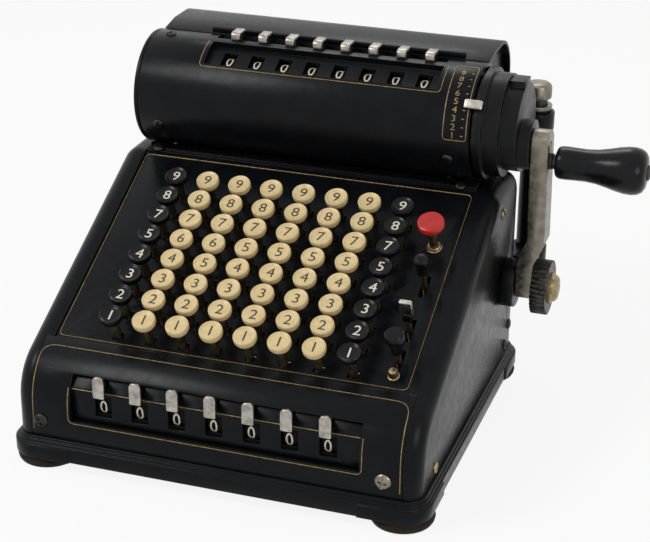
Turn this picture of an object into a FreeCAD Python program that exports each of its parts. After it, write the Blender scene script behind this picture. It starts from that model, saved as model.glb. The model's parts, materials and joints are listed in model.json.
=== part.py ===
import FreeCAD, Part
import Sketcher
import math
import os
import re

# Desk calculator with a keyboard on a sloping panel, a round register housing behind it,
# a second register in the front panel and a hand crank on the right side.
# Frame: X to the right, Y to the back, Z up. The origin is on the table, under the middle
# of the base. All sizes are millimetres and degrees.

SIZES = {
    # Key field and the casing round it
    "key_columns": 8,
    "key_rows": 8,
    "key_pitch_across": 19,
    "key_pitch_up": 14.65,
    "key_margin_left": 34.5,
    "key_margin_right": 31.5,
    "key_first_row": 3.24,
    "cheek_width": 14,
    "front_inset": 9.4,
    "slope_angle": 26.4,
    "front_land": 27,
    "panel_front_height": 68.6,
    "rail_rise": 1,
    "deck_height": 130.8,
    "deck_depth": 51.212,
    "front_curve": 30,
    "deck_curve": 14,
    "rail_round": 9,
    "cheek_wall": 3.2,
    "cheek_relief_inset": 9,
    "front_seam": 4,
    "front_thickness": 3,
    "joint_gap": 0.2,
    "seat_gap": 0.02,
    # Base casting, bottom plate and rubber feet
    "base_step": 3.5,
    "base_rear_step": 5,
    "base_underside": 6.5,
    "base_band": 8.7,
    "base_rim": 16,
    "base_corner": 14,
    "bead_height": 1.6,
    "bead_step": 1.1,
    "corner_pad_length": 36,
    "corner_pad_step": 1,
    "bottom_thickness": 1.5,
    "bottom_gap": 0.2,
    "bottom_slot_length": 90,
    "bottom_slot_width": 6,
    "bottom_slots": 5,
    "bottom_slot_pitch": 24,
    "foot_radius": 17.5,
    "foot_inset": 16,
    "foot_inset_deep": 16.5,
    # Key panel, keys and the ledge behind the panel
    "panel_thickness": 2.5,
    "key_height": 18.9,
    "cap_radius": 6.9,
    "cap_height": 6.2,
    "cap_taper": 10,
    "cap_sides": 12,
    "stem_side": 4.8,
    "stem_below": 12,
    "stem_gap": 0.4,
    "ledge_lap": 0.36,
    "ledge_length": 8.2,
    "ledge_thickness": 2.5,
    "ledge_bead": 1.2,
    "ledge_bead_rise": 0.8,
    # Control column to the right of the keys
    "button_inset": 12.5,
    "button_up": 94.6,
    "button_height": 22,
    "button_radius": 7.4,
    "button_thickness": 6,
    "button_foot_radius": 5,
    "button_sides": 16,
    "button_stem": 2.6,
    "lever_inset": 10.5,
    "lever_pivot_depth": 14,
    "lever_stem": 1.6,
    "lever_hub": 4,
    "lever_hub_width": 4,
    "lever_slot_length": 15,
    "lever_pin_radius": 1.5,
    "shift_up": 67,
    "shift_height": 24,
    "shift_knob_radius": 4,
    "shift_knob_length": 13,
    "shift_knob_foot": 4,
    "shift_knob_crown": 1.6,
    "shift_knob_draw": 1,
    "tab_up": 36.6,
    "tab_height": 24,
    "tab_width": 7,
    "tab_depth": 3,
    "tab_length": 10,
    "clear_up": 15.5,
    "clear_height": 24,
    "clear_knob_radius": 5.6,
    "clear_knob_length": 8,
    "clear_neck_radius": 2.8,
    "clear_neck_length": 7,
    "stud_gap": 5.3,
    "stud_radius": 3.2,
    "stud_height": 6,
    "bush_radius": 4.4,
    "bush_height": 2.4,
    "bush_sides": 16,
    # Front register: tray, number wheels and their levers
    "tray_inset": 18.5,
    "tray_rise": 12.1,
    "tray_height": 25.5,
    "tray_setback": 3.5,
    "tray_thickness": 2,
    "tray_ledge_rise": 19,
    "tray_slant": 6.3,
    "tray_frame": 1.6,
    "entry_count": 7,
    "entry_pitch": 21,
    "entry_shift": 0.2,
    "entry_rise": 9.9,
    "entry_window_width": 9.6,
    "entry_window_height": 12.4,
    "entry_setback": 17,
    "entry_wheel_radius": 11.2,
    "entry_wheel_width": 9,
    "entry_tab_width": 6.6,
    "entry_tab_length": 12.5,
    "entry_tab_rise": 4.5,
    "entry_tab_reach": 2.1,
    "entry_tab_thickness": 2.2,
    "entry_arm_thickness": 3,
    "entry_slot_drop": 4.1,
    "lever_gap": 0.4,
    "axle_radius": 2.5,
    "axle_fit": 0.06,
    "bore_sides": 12,
    # Round register housing
    "drum_radius": 33,
    "drum_wall": 2,
    "drum_setback": 22.212,
    "drum_lift": 33.2,
    "drum_gap_left": 0.5,
    "drum_gap_right": 3,
    "drum_cap_thickness": 3,
    "drum_boss_radius": 9,
    "drum_boss_length": 6,
    "window_turn": 62,
    "window_chord": 18,
    "window_floor": 27.5,
    "window_plate": 2,
    "window_rim": 1,
    "result_count": 8,
    "result_pitch": 16.5,
    "result_margin_left": 11.9,
    "result_margin_right": 9.6,
    "result_window_width": 8.4,
    "result_window_height": 10,
    "result_axis_radius": 17.4,
    "result_wheel_radius": 7.6,
    "result_wheel_width": 8,
    "result_slot_front": 3.6,
    "result_slot_rear": 15.8,
    "result_tab_width": 6,
    "result_tab_lift": 37.6,
    "result_tab_ahead": 3.6,
    "result_tab_behind": 6.6,
    "result_tab_thickness": 2,
    "result_tab_drop": 4.6,
    "result_arm_thickness": 2.6,
    "result_arm_behind": 4.6,
    "gear_slot_turn": 35,
    # Rear housing and the rail behind the levers
    "rear_plate": 2,
    "rear_plate_lap": 4.5,
    "rear_lift": 35,
    "rear_reach": 64,
    "rear_gap": 9.2,
    "rear_lip_behind": 8.5,
    "rear_lip_lift": 32.4,
    "rear_rise_behind": 23,
    "rear_sheet": 2,
    "rear_curve": 24,
    "rear_fold": 9,
    "rear_end_recess": 4,
    "rail_length": 152,
    "rail_depth": 3,
    "rail_height": 3.4,
    "rail_behind": 9.4,
    # Stepped hub at the right end of the housing
    "hub_depth": 6.5,
    "hub_flange": 3,
    "hub_flange_sides": 32,
    "hub_spigot_radius": 25.9,
    "ring_gap": 2.1,
    "ring_width": 4,
    "ring_radius": 31.5,
    "disc_width": 9,
    "disc_radius": 29,
    "face_width": 9.4,
    "face_radius": 25,
    "lug_length": 9,
    "lug_width": 12,
    "lug_rise": 27.8,
    "park_ahead": 5,
    "park_drop": 8,
    "park_radius": 14,
    "arm_gap": 0.35,
    # Number slider on the scale
    "slider_gap": 0.3,
    "slider_ring_width": 1.5,
    "slider_ring_radius": 29,
    "slider_ring_sides": 24,
    "slider_ring_fit": 0.06,
    "slider_turn": 34,
    "slider_length": 10.4,
    "slider_width": 5.2,
    "slider_lift": 0.5,
    "slider_thickness": 2.6,
    # Crank, its bearing and its handle
    "crank_height": 69,
    "crank_lean": 4.8,
    "bearing_radius": 14,
    "bearing_length": 8,
    "shaft_radius": 5,
    "shaft_fit": 0.05,
    "shaft_reach": 5,
    "arm_length": 89.8,
    "arm_width": 16,
    "arm_thickness": 10,
    "arm_offset": 5.8,
    "arm_bend_low": 16.6,
    "arm_bend_high": 30,
    "arm_oil_hole": 1.6,
    "grip_distance": 79.5,
    "nut_radius": 16,
    "nut_length": 9,
    "nut_teeth": 36,
    "nut_tooth": 1,
    "brass_cap_radius": 9,
    "brass_cap_length": 5,
    "spindle_radius": 3,
    "spindle_collar": 4.6,
    "spindle_collar_length": 6.6,
    "spindle_rivet": 1.2,
    "grip_gap": 0.4,
    "grip_fit": 0.06,
    "grip_length": 48,
    "grip_inner_radius": 9.6,
    "grip_start_round": 1.2,
    "grip_waist_radius": 9.1,
    "grip_waist_start": 6,
    "grip_flare_start": 20,
    "grip_flare_end": 32,
    "grip_bulb_radius": 13.2,
    "grip_end_round": 3,
    "knob_sides": 12,
    # Gear train and pinwheel rotor
    "gear_teeth": 22,
    "idler_teeth": 16,
    "idler_set_back": 3.5,
    "gear_addendum": 1.2,
    "gear_dedendum": 2.3,
    "tooth_thickness": 3.3,
    "flank_slope": 0.36,
    "gear_inset": 17.5,
    "gear_width": 7,
    "gear_window_gap": 4,
    "idler_stud_radius": 4,
    "rotor_shaft_radius": 4,
    "rotor_shaft_fit": 0.05,
    "rotor_shaft_reach": 0.5,
    "rotor_flats": 4.2,
    "pinwheel_radius": 8,
    "pinwheel_width": 5,
    "pin_count": 9,
    "pin_rise": 1.5,
    # Side frames
    "frame_thickness": 2,
    "frame_gap": 6.5,
    # Column behind the crank
    "column_overhang": 3,
    "column_setback": 22,
    "column_radius": 8,
    "column_bottom": 60,
    "column_drop": 3,
    "collar_radius": 8.6,
    "collar_height": 2,
    "plunger_radius": 8,
    "plunger_height": 9,
    "plunger_step": 1.2,
    "plunger_stem": 5.94,
    "plunger_stem_length": 22,
    "plunger_travel": 4,
    "bracket_gap": 0.5,
    "bracket_sides": 24,
    "bracket_height": 11,
    "bracket_low_rise": 2,
    "bracket_high_rise": 15.2,
    "bracket_thickness": 9,
    # Screws
    "screw_radius": 3.2,
    "screw_rise": 1.2,
    "screw_sides": 12,
    "front_screw_left": 4.6,
    "front_screw_right": 10.3,
    "front_screw_rise": 9.3,
    "cheek_screw_front": 28.5,
    "cheek_screw_rise": 5.6,
    "cheek_screw_rear": 20,
    "cheek_screw_pitch": 8,
    "cheek_screw_step": 10,
    "cheek_screw_deck": 42,
    "cheek_screw_drop": 14.8,
}

# Places and sizes that follow from the ones above, so that pieces that meet stay together
FITTED = {
    "base_top": "(base_underside + base_band + 2 * bead_height)",
    "cheek_gap": "((key_columns - 1) * key_pitch_across + key_margin_left + key_margin_right)",
    "key_field_left": "(cheek_gap / 2 - key_margin_left)",
    "casing_width": "(cheek_gap + 2 * cheek_width)",
    "front_width": "(casing_width - 2 * front_inset)",
    "base_width": "(casing_width + 2 * base_step)",
    "slope_run": "((deck_height - panel_front_height - rail_rise) / tan(slope_angle))",
    "casing_front": "((front_land + slope_run + deck_depth + base_rear_step - base_step) / 2)",
    "casing_rear": "(casing_front + base_step - base_rear_step)",
    "base_depth": "(2 * (casing_front + base_step))",
    "panel_front": "(casing_front - front_land)",
    "panel_length": "(slope_run / cos(slope_angle) + front_seam + ledge_lap)",
    "deck_start": "(slope_run - panel_front)",
    "foot_pitch_across": "(base_width - 2 * foot_inset)",
    "foot_pitch_deep": "(base_depth - 2 * foot_inset_deep)",
    "button_across": "(cheek_gap / 2 - button_inset)",
    "lever_across": "(cheek_gap / 2 - lever_inset)",
    "tray_left": "(cheek_gap / 2 - tray_inset)",
    "tray_bottom": "(base_top + tray_rise)",
    "tray_top": "(tray_bottom + tray_height)",
    "tray_ledge": "(tray_bottom + tray_ledge_rise)",
    "entry_first": "((entry_count - 1) * entry_pitch / 2 - entry_shift)",
    "entry_height": "(tray_bottom + entry_rise)",
    "entry_axis": "(casing_front - entry_setback)",
    "entry_tab_front": "(casing_front + entry_tab_reach)",
    "entry_tab_top": "(tray_top + entry_tab_rise)",
    "entry_tab_bottom": "(entry_tab_top - entry_tab_length)",
    "entry_slot_bottom": "(tray_ledge - entry_slot_drop)",
    "drum_y": "(deck_start + drum_setback)",
    "drum_height": "(deck_height + drum_lift)",
    "drum_left": "(cheek_gap / 2 - drum_gap_left)",
    "drum_right": "(cheek_gap / 2 - drum_gap_right)",
    "gear_left": "(drum_right - gear_inset)",
    "window_right": "(gear_left - gear_window_gap)",
    "wall_left": "(window_right + window_rim + joint_gap)",
    "result_first": "((result_count - 1) * result_pitch + result_margin_right - window_right)",
    "window_left": "(result_first + result_margin_left)",
    "result_y": "(drum_y - result_axis_radius * cos(window_turn))",
    "result_z": "(drum_height + result_axis_radius * sin(window_turn))",
    "result_tab_top": "(drum_height + result_tab_lift)",
    "result_tab_front": "(drum_y - result_tab_ahead)",
    "result_tab_rear": "(drum_y + result_tab_behind)",
    "result_arm_top_y": "(drum_y + result_arm_behind)",
    "rear_top": "(drum_height + rear_lift)",
    "rear_depth": "(drum_y + rear_reach)",
    "rear_bottom": "(deck_height + rear_gap)",
    "rear_lip_y": "(drum_y + rear_lip_behind)",
    "rear_lip_height": "(drum_height + rear_lip_lift)",
    "rear_rise_y": "(drum_y + rear_rise_behind)",
    "rail_front": "(drum_y + rail_behind)",
    "hub_left": "(drum_right - hub_depth)",
    "ring_left": "(drum_right + ring_gap)",
    "disc_left": "(ring_left + ring_width)",
    "face_left": "(disc_left + disc_width)",
    "hub_right": "(face_left + face_width)",
    "lug_left": "(hub_right - lug_length)",
    "park_y": "(drum_y - park_ahead)",
    "park_height": "(drum_height - park_drop)",
    "crank_span": "(drum_height - crank_height)",
    "shaft_left": "(gear_left - shaft_reach)",
    "rotor_shaft_right": "(drum_right + rotor_shaft_reach)",
    "idler_lean": "atan(2 * idler_set_back / crank_span)",
    "tooth_step": "(crank_span / 2 / cos(idler_lean) / (gear_teeth + idler_teeth))",
    "arm_outer": "(casing_width / 2 + bearing_length + arm_thickness + arm_offset)",
    "grip_y": "(drum_y - grip_distance * sin(crank_lean))",
    "grip_z": "(crank_height + grip_distance * cos(crank_lean))",
    "frame_across": "(cheek_gap / 2 - frame_gap)",
    "column_across": "(casing_width / 2 + column_overhang)",
    "column_y": "(casing_rear + column_setback)",
    "column_top": "(drum_height - column_drop)",
    "bracket_radius": "(bearing_length + arm_offset - column_overhang - bracket_gap)",
    "bracket_low": "(column_bottom + bracket_low_rise)",
    "bracket_high": "(deck_height + bracket_high_rise)",
}

doc = FreeCAD.newDocument("calculator")
sheet = doc.addObject("Spreadsheet::Sheet", "sizes")
for row, (word, number) in enumerate(SIZES.items(), start=1):
    sheet.set(f"A{row}", word)
    sheet.set(f"B{row}", str(number))
    sheet.setAlias(f"B{row}", word)
doc.recompute()

subparts = []


def size(word):
    """Return one size from the sheet."""
    return float(sheet.get(word))


def in_sizes(text):
    """Return an expression in which each fitted word is replaced by what it follows from."""
    while any(word in FITTED for word in re.findall(r"[a-z][a-z_]+", text)):
        text = re.sub(r"[a-z][a-z_]+", lambda m: FITTED.get(m[0], m[0]), text)
    return text


def formula(text):
    """Return an expression in which each size word points at its cell of the sheet."""
    return re.sub(r"[a-z][a-z_]+", lambda m: "sizes." + m[0] if m[0] in SIZES else m[0], in_sizes(text))


def value(text):
    """Return the number that an expression of sizes stands for."""
    return float(sheet.evalExpression(in_sizes(text)))


def bind(item, target, text):
    """Tie one property of an object to an expression of sizes."""
    item.setExpression(target, formula(text))


def new_body(name, x="0", y="0", z="0", turn=""):
    """Start a sub-part at a place, turned about its X axis where a turn is given."""
    body = doc.addObject("PartDesign::Body", name)
    body.Label = name
    body.AllowCompound = True
    if turn:
        body.Placement = FreeCAD.Placement(FreeCAD.Vector(), FreeCAD.Rotation(FreeCAD.Vector(1, 0, 0), 1))
        bind(body, "Placement.Rotation.Angle", turn)
    for coordinate, text in zip("xyz", (x, y, z)):
        if text != "0":
            bind(body, f"Placement.Base.{coordinate}", text)
    subparts.append(body)
    return body


def origin_feature(body, role):
    """Return the origin plane or axis of a body that has the given role."""
    return next(item for item in body.Origin.OriginFeatures if item.Role == role)


def new_sketch(body, role, offset="0"):
    """Attach a sketch to an origin plane of its body, moved along that plane's normal."""
    sketch = body.newObject("Sketcher::SketchObject", f"{body.Name}_sketch")
    sketch.AttachmentSupport = (origin_feature(body, role), "")
    sketch.MapMode = "FlatFace"
    if offset != "0":
        bind(sketch, "AttachmentOffset.Base.z", offset)
    return sketch


def pin(sketch, kind, index, point, text):
    """Hold one coordinate of a sketch point at an expression of sizes."""
    number = sketch.addConstraint(Sketcher.Constraint(kind, -1, 1, index, point, value(text)))
    if re.search("[a-z]", text):
        bind(sketch, f"Constraints[{number}]", text)


def polygon(sketch, corners):
    """Draw a closed polygon whose corners are pairs of expressions."""
    first = sketch.GeometryCount
    spots = [FreeCAD.Vector(value(across), value(up), 0) for across, up in corners]
    count = len(spots)
    for step in range(count):
        sketch.addGeometry(Part.LineSegment(spots[step], spots[(step + 1) % count]))
    for step, (across, up) in enumerate(corners):
        following = first + (step + 1) % count
        sketch.addConstraint(Sketcher.Constraint("Coincident", first + step, 2, following, 1))
        pin(sketch, "DistanceX", first + step, 1, across)
        pin(sketch, "DistanceY", first + step, 1, up)


def rectangle(sketch, left, right, bottom, top):
    """Draw a rectangle between four expressions."""
    polygon(sketch, [(left, bottom), (right, bottom), (right, top), (left, top)])


def rounded_rectangle(sketch, half_across, half_up, radius):
    """Draw a rectangle about the sketch's origin with an arc at each corner."""
    signs = (("", ""), ("-", ""), ("-", "-"), ("", "-"))
    first = sketch.GeometryCount
    for corner, (side, end) in enumerate(signs):
        centre = (f"{side}({half_across} - {radius})", f"{end}({half_up} - {radius})")
        flat, tall = (f"{side}({half_across})", centre[1]), (centre[0], f"{end}({half_up})")
        start, stop = (flat, tall) if corner % 2 == 0 else (tall, flat)
        spot = FreeCAD.Vector(value(centre[0]), value(centre[1]), 0)
        round_part = Part.Circle(spot, FreeCAD.Vector(0, 0, 1), value(radius))
        begin = math.radians(90 * corner)
        index = sketch.addGeometry(Part.ArcOfCircle(round_part, begin, begin + math.pi / 2))
        for point, place in ((1, start), (2, stop)):
            pin(sketch, "DistanceX", index, point, place[0])
            pin(sketch, "DistanceY", index, point, place[1])
        number = sketch.addConstraint(Sketcher.Constraint("Radius", index, value(radius)))
        bind(sketch, f"Constraints[{number}]", radius)
    for corner in range(4):
        last, following = first + corner, first + (corner + 1) % 4
        line = Part.LineSegment(sketch.getPoint(last, 2), sketch.getPoint(following, 1))
        index = sketch.addGeometry(line)
        sketch.addConstraint(Sketcher.Constraint("Coincident", last, 2, index, 1))
        sketch.addConstraint(Sketcher.Constraint("Coincident", index, 2, following, 1))


def circle(sketch, across, up, radius):
    """Draw a circle at a pair of expressions."""
    centre = FreeCAD.Vector(value(across), value(up), 0)
    index = sketch.addGeometry(Part.Circle(centre, FreeCAD.Vector(0, 0, 1), value(radius)))
    pin(sketch, "DistanceX", index, 3, across)
    pin(sketch, "DistanceY", index, 3, up)
    number = sketch.addConstraint(Sketcher.Constraint("Radius", index, value(radius)))
    bind(sketch, f"Constraints[{number}]", radius)


def many_sided(sketch, across, up, radius, sides):
    """Draw a regular polygon round a pair of expressions, with its corners on the radius."""
    corners = []
    for step in range(int(size(sides))):
        angle = f"({step} * 360 / {sides})"
        corners.append((f"{across} + {radius} * cos({angle})", f"{up} + {radius} * sin({angle})"))
    polygon(sketch, corners)


def pad(body, sketch, length):
    """Add material along the sketch's normal."""
    feature = body.newObject("PartDesign::Pad", f"{body.Name}_pad")
    feature.Profile = sketch
    bind(feature, "Length", length)
    sketch.Visibility = False
    return feature


def cut(body, sketch, length):
    """Remove material along the sketch's normal."""
    doc.recompute()
    before = body.Tip.Shape.Volume
    feature = body.newObject("PartDesign::Pocket", f"{body.Name}_pocket")
    feature.Profile = sketch
    feature.Reversed = True
    bind(feature, "Length", length)
    sketch.Visibility = False
    doc.recompute()
    if feature.Shape.Volume > before - 0.01:
        raise ValueError(f"{body.Name}: a cut removes nothing")
    return feature


def turn(body, sketch, axis):
    """Revolve a sketch once round its own horizontal or vertical axis."""
    feature = body.newObject("PartDesign::Revolution", f"{body.Name}_revolution")
    feature.Profile = sketch
    feature.ReferenceAxis = (sketch, [axis])
    feature.Angle = 360
    sketch.Visibility = False
    return feature


def round_edges(body, radius, choose):
    """Fillet the edges of a body that a test picks out."""
    doc.recompute()
    base = body.Tip
    names = [f"Edge{n}" for n, edge in enumerate(base.Shape.Edges, start=1) if choose(edge)]
    if not names:
        raise ValueError(f"{body.Name}: no edge to round")
    feature = body.newObject("PartDesign::Fillet", f"{body.Name}_fillet")
    feature.Base = (base, names)
    bind(feature, "Radius", radius)
    return feature


def taper(body, low, top, angle):
    """Slope the walls of a body's last pad inwards from its top face down to its foot."""
    doc.recompute()
    base = body.Tip
    walls, crown = [], ""
    for number, face in enumerate(base.Shape.Faces, start=1):
        box = face.BoundBox
        if abs(box.ZMax - value(top)) < 0.01 and abs(box.ZMin - value(low)) < 0.01:
            walls.append(f"Face{number}")
        elif box.ZMin > value(top) - 0.01:
            crown = f"Face{number}"
    draft = body.newObject("PartDesign::Draft", f"{body.Name}_draft")
    draft.Base = (base, walls)
    draft.NeutralPlane = (base, [crown])
    draft.Reversed = False
    bind(draft, "Angle", angle)
    doc.recompute()
    if draft.Shape.Volume > base.Shape.Volume:
        draft.Reversed = True


def repeat(body, role, pitch, count, feature=None):
    """Repeat one feature, or the whole body, along one of its axes."""
    doc.recompute()
    pattern = body.newObject("PartDesign::LinearPattern", f"{body.Name}_pattern")
    if feature:
        pattern.Originals = [feature]
    else:
        pattern.TransformMode = "Whole shape"
    pattern.Direction = (origin_feature(body, role), [""])
    pattern.Mode = "Spacing"
    bind(pattern, "Offset", pitch)
    bind(pattern, "Occurrences", count)
    body.Tip = pattern
    return pattern


def repeat_round(body, role, count, feature):
    """Repeat one feature in a full circle about an axis of its body."""
    pattern = body.newObject("PartDesign::PolarPattern", f"{body.Name}_pattern")
    pattern.Originals = [feature]
    pattern.Axis = (origin_feature(body, role), [""])
    pattern.Angle = 360
    bind(pattern, "Occurrences", count)
    body.Tip = pattern
    return pattern


def straight(edge):
    """Say whether an edge is a straight line."""
    return isinstance(edge.Curve, Part.Line)


def runs_along(edge, direction):
    """Say whether a straight edge runs along a direction."""
    return straight(edge) and abs(edge.tangentAt(edge.FirstParameter).dot(direction)) > 0.999


def middle(edge):
    """Return the middle of an edge's box."""
    return edge.BoundBox.Center


AXES = {name: FreeCAD.Vector(*axis) for name, axis in (("x", (1, 0, 0)), ("y", (0, 1, 0)), ("z", (0, 0, 1)))}

def rail(along):
    """Return the height of the casing's sloping rail at a distance from the middle."""
    return f"(panel_front_height + rail_rise + ({along} + panel_front) * tan(slope_angle))"


def base_casting():
    """Cast rim with two beads on top and a thicker pad at each corner."""
    body = new_body("base_casting", z="base_underside")
    heights = ("base_band", "bead_height", "bead_height")
    for step, height in enumerate(heights):
        sketch = new_sketch(body, "XY_Plane", " + ".join(heights[:step]) or "0")
        inset = f"{step} * bead_step"
        rounded_rectangle(sketch, f"(base_width / 2 - {inset})", f"(base_depth / 2 - {inset})",
                          f"(base_corner - {inset})")
        pad(body, sketch, height)
    sketch = new_sketch(body, "XY_Plane")
    for side in ("-", ""):
        for end in ("-", ""):
            inner = f"{side}(base_width / 2 - corner_pad_length)"
            outer = f"{side}(base_width / 2 + corner_pad_step)"
            near = f"{end}(base_depth / 2 - corner_pad_length)"
            far = f"{end}(base_depth / 2 + corner_pad_step)"
            polygon(sketch, [(inner, near), (outer, near), (outer, far), (inner, far)])
    pad(body, sketch, "base_band - corner_pad_step")
    reach = value("base_width / 2 + corner_pad_step / 2")
    ahead = value("base_depth / 2 + corner_pad_step / 2")

    def pad_corner(edge):
        spot = middle(edge)
        return runs_along(edge, AXES["z"]) and abs(spot.x) > reach and abs(spot.y) > ahead

    round_edges(body, "base_corner + corner_pad_step", pad_corner)
    sketch = new_sketch(body, "XY_Plane")
    across, deep = "(base_width / 2 - base_rim)", "(base_depth / 2 - base_rim)"
    rectangle(sketch, f"-{across}", across, f"-{deep}", deep)
    cut(body, sketch, "base_band + 2 * bead_height")


def bottom_plate():
    """Slotted sheet that closes the base from below."""
    body = new_body("bottom_plate", z="base_underside")
    sketch = new_sketch(body, "XY_Plane")
    across, deep = "(base_width / 2 - base_rim - bottom_gap)", "(base_depth / 2 - base_rim - bottom_gap)"
    rectangle(sketch, f"-{across}", across, f"-{deep}", deep)
    pad(body, sketch, "bottom_thickness")
    sketch = new_sketch(body, "XY_Plane")
    first = "-(bottom_slots - 1) / 2 * bottom_slot_pitch"
    half = "bottom_slot_length / 2"
    rectangle(sketch, f"-{half}", half, f"{first} - bottom_slot_width / 2",
              f"{first} + bottom_slot_width / 2")
    slot = cut(body, sketch, "bottom_thickness")
    repeat(body, "Y_Axis", "bottom_slot_pitch", "bottom_slots", slot)


def rubber_feet():
    """Four round rubber feet under the corner pads."""
    body = new_body("rubber_feet", "-foot_pitch_across / 2", "-foot_pitch_deep / 2")
    sketch = new_sketch(body, "XZ_Plane")
    polygon(sketch, [
        ("0", "0"),
        ("foot_radius", "0"),
        ("foot_radius", "base_underside"),
        ("0", "base_underside"),
    ])
    turn(body, sketch, "V_Axis")
    repeat(body, "X_Axis", "foot_pitch_across", "2")
    repeat(body, "Y_Axis", "foot_pitch_deep", "2")


def side_casing(name, left):
    """Cast cheek with a sloping, rounded rail and a relieved inner face."""
    body = new_body(name)
    start = "-casing_width / 2" if left else "cheek_gap / 2"
    sketch = new_sketch(body, "YZ_Plane", start)
    polygon(sketch, [
        ("-casing_front", "base_top"),
        ("-casing_front", rail("-casing_front")),
        ("deck_start", "deck_height"),
        ("casing_rear", "deck_height"),
        ("casing_rear", "base_top"),
    ])
    pad(body, sketch, "(casing_width - cheek_gap) / 2")
    front, deck = value("-casing_front + 1"), value("deck_height - 1")
    round_edges(body, "front_curve", lambda e: runs_along(e, AXES["x"]) and middle(e).y < front
                and middle(e).z > value("base_top") + 1)
    round_edges(body, "deck_curve", lambda e: runs_along(e, AXES["x"]) and middle(e).z > deck)
    step = "(front_width / 2 + joint_gap)"
    sketch = new_sketch(body, "YZ_Plane", f"-{step}" if left else "cheek_gap / 2")
    rectangle(sketch, "-casing_front - 1", "-(panel_front + front_seam)", "base_underside", "deck_height")
    cut(body, sketch, f"{step} - cheek_gap / 2")
    side = value("casing_width / 2")

    def outer_edge(edge):
        box = edge.BoundBox
        flat = min(abs(box.XMin), abs(box.XMax)) > side - 0.01
        return flat and box.ZMax > value("base_top") + 0.1

    round_edges(body, "rail_round", outer_edge)
    sketch = new_sketch(body, "YZ_Plane", "-casing_width / 2 + cheek_wall" if left else "cheek_gap / 2")
    inset = "cheek_relief_inset"
    low = "base_top + cheek_wall"
    drop = f"{inset} / cos(slope_angle)"
    polygon(sketch, [
        (f"-casing_front + {inset}", low),
        (f"-casing_front + {inset}", f"{rail('-casing_front')} - 2 * {inset}"),
        ("-panel_front", f"{rail('-panel_front')} - {drop}"),
        ("deck_start", f"deck_height - 1.2 * {inset}"),
        (f"casing_rear - 1.6 * {inset}", f"deck_height - 1.2 * {inset}"),
        (f"casing_rear - 1.6 * {inset}", low),
    ])
    cut(body, sketch, "(casing_width - cheek_gap) / 2 - cheek_wall")
    if not left:
        sketch = new_sketch(body, "YZ_Plane", "cheek_gap / 2")
        circle(sketch, "drum_y", "crank_height", "shaft_radius + 1")
        cut(body, sketch, "(casing_width - cheek_gap) / 2")


def front_panel():
    """Curved front sheet with the opening of the front register."""
    body = new_body("front_panel")
    sketch = new_sketch(body, "YZ_Plane", "-front_width / 2")
    front, seam = "-casing_front", "-(panel_front + front_seam)"
    thick = "front_thickness"
    polygon(sketch, [
        (front, "base_top"),
        (front, rail(front)),
        (seam, rail(seam)),
        (seam, f"{rail(seam)} - {thick} / cos(slope_angle)"),
        (f"{front} + {thick}", f"{rail(front)} + {thick} * (tan(slope_angle) - 1 / cos(slope_angle))"),
        (f"{front} + {thick}", "base_top"),
    ])
    pad(body, sketch, "front_width")
    bend = value(f"{rail('-casing_front')} + 2")

    def bend_edge(edge, along):
        spot = middle(edge)
        return runs_along(edge, AXES["x"]) and abs(spot.y - along) < 0.1 and abs(spot.z - bend) < 5

    round_edges(body, "front_curve", lambda e: bend_edge(e, value(front)))
    round_edges(body, "front_curve - front_thickness", lambda e: bend_edge(e, value(f"{front} + {thick}")))
    sketch = new_sketch(body, "XZ_Plane", "casing_front - 22")
    rectangle(sketch, "-tray_left", "tray_left", "tray_bottom", "tray_top")
    cut(body, sketch, "23")


def register_tray():
    """Recessed front of the register with a window and a lever slot for each wheel."""
    body = new_body("register_tray")
    half = "(tray_left - joint_gap)"
    sketch = new_sketch(body, "YZ_Plane", f"-{half}")
    face = "-(casing_front - tray_setback)"
    back = f"({face} + tray_thickness)"
    slant = "-(casing_front - tray_setback - tray_slant)"
    polygon(sketch, [
        (face, "tray_bottom + joint_gap"),
        (face, "tray_ledge"),
        (slant, "tray_ledge + tray_slant"),
        (f"{slant} + tray_thickness", "tray_ledge + tray_slant"),
        (back, "tray_ledge"),
        (back, "tray_bottom + joint_gap"),
    ])
    pad(body, sketch, f"2 * {half}")
    sketch = new_sketch(body, "XZ_Plane", f"-{slant} - tray_thickness - 1")
    middle_x = "-entry_first"
    wide, tall = "entry_window_width / 2", "entry_window_height / 2"
    rectangle(sketch, f"{middle_x} - {wide}", f"{middle_x} + {wide}", f"entry_height - {tall}",
              f"entry_height + {tall}")
    window = cut(body, sketch, "tray_slant + tray_thickness + 2")
    repeat(body, "X_Axis", "entry_pitch", "entry_count", window)
    sketch = new_sketch(body, "XZ_Plane", f"-{slant} - tray_thickness - 1")
    slot = "(entry_arm_thickness / 2 + lever_gap)"
    rectangle(sketch, f"{middle_x} - {slot}", f"{middle_x} + {slot}", "entry_slot_bottom",
              "tray_ledge + tray_slant - tray_frame")
    window = cut(body, sketch, "tray_slant + tray_thickness + 2")
    repeat(body, "X_Axis", "entry_pitch", "entry_count", window)


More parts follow.
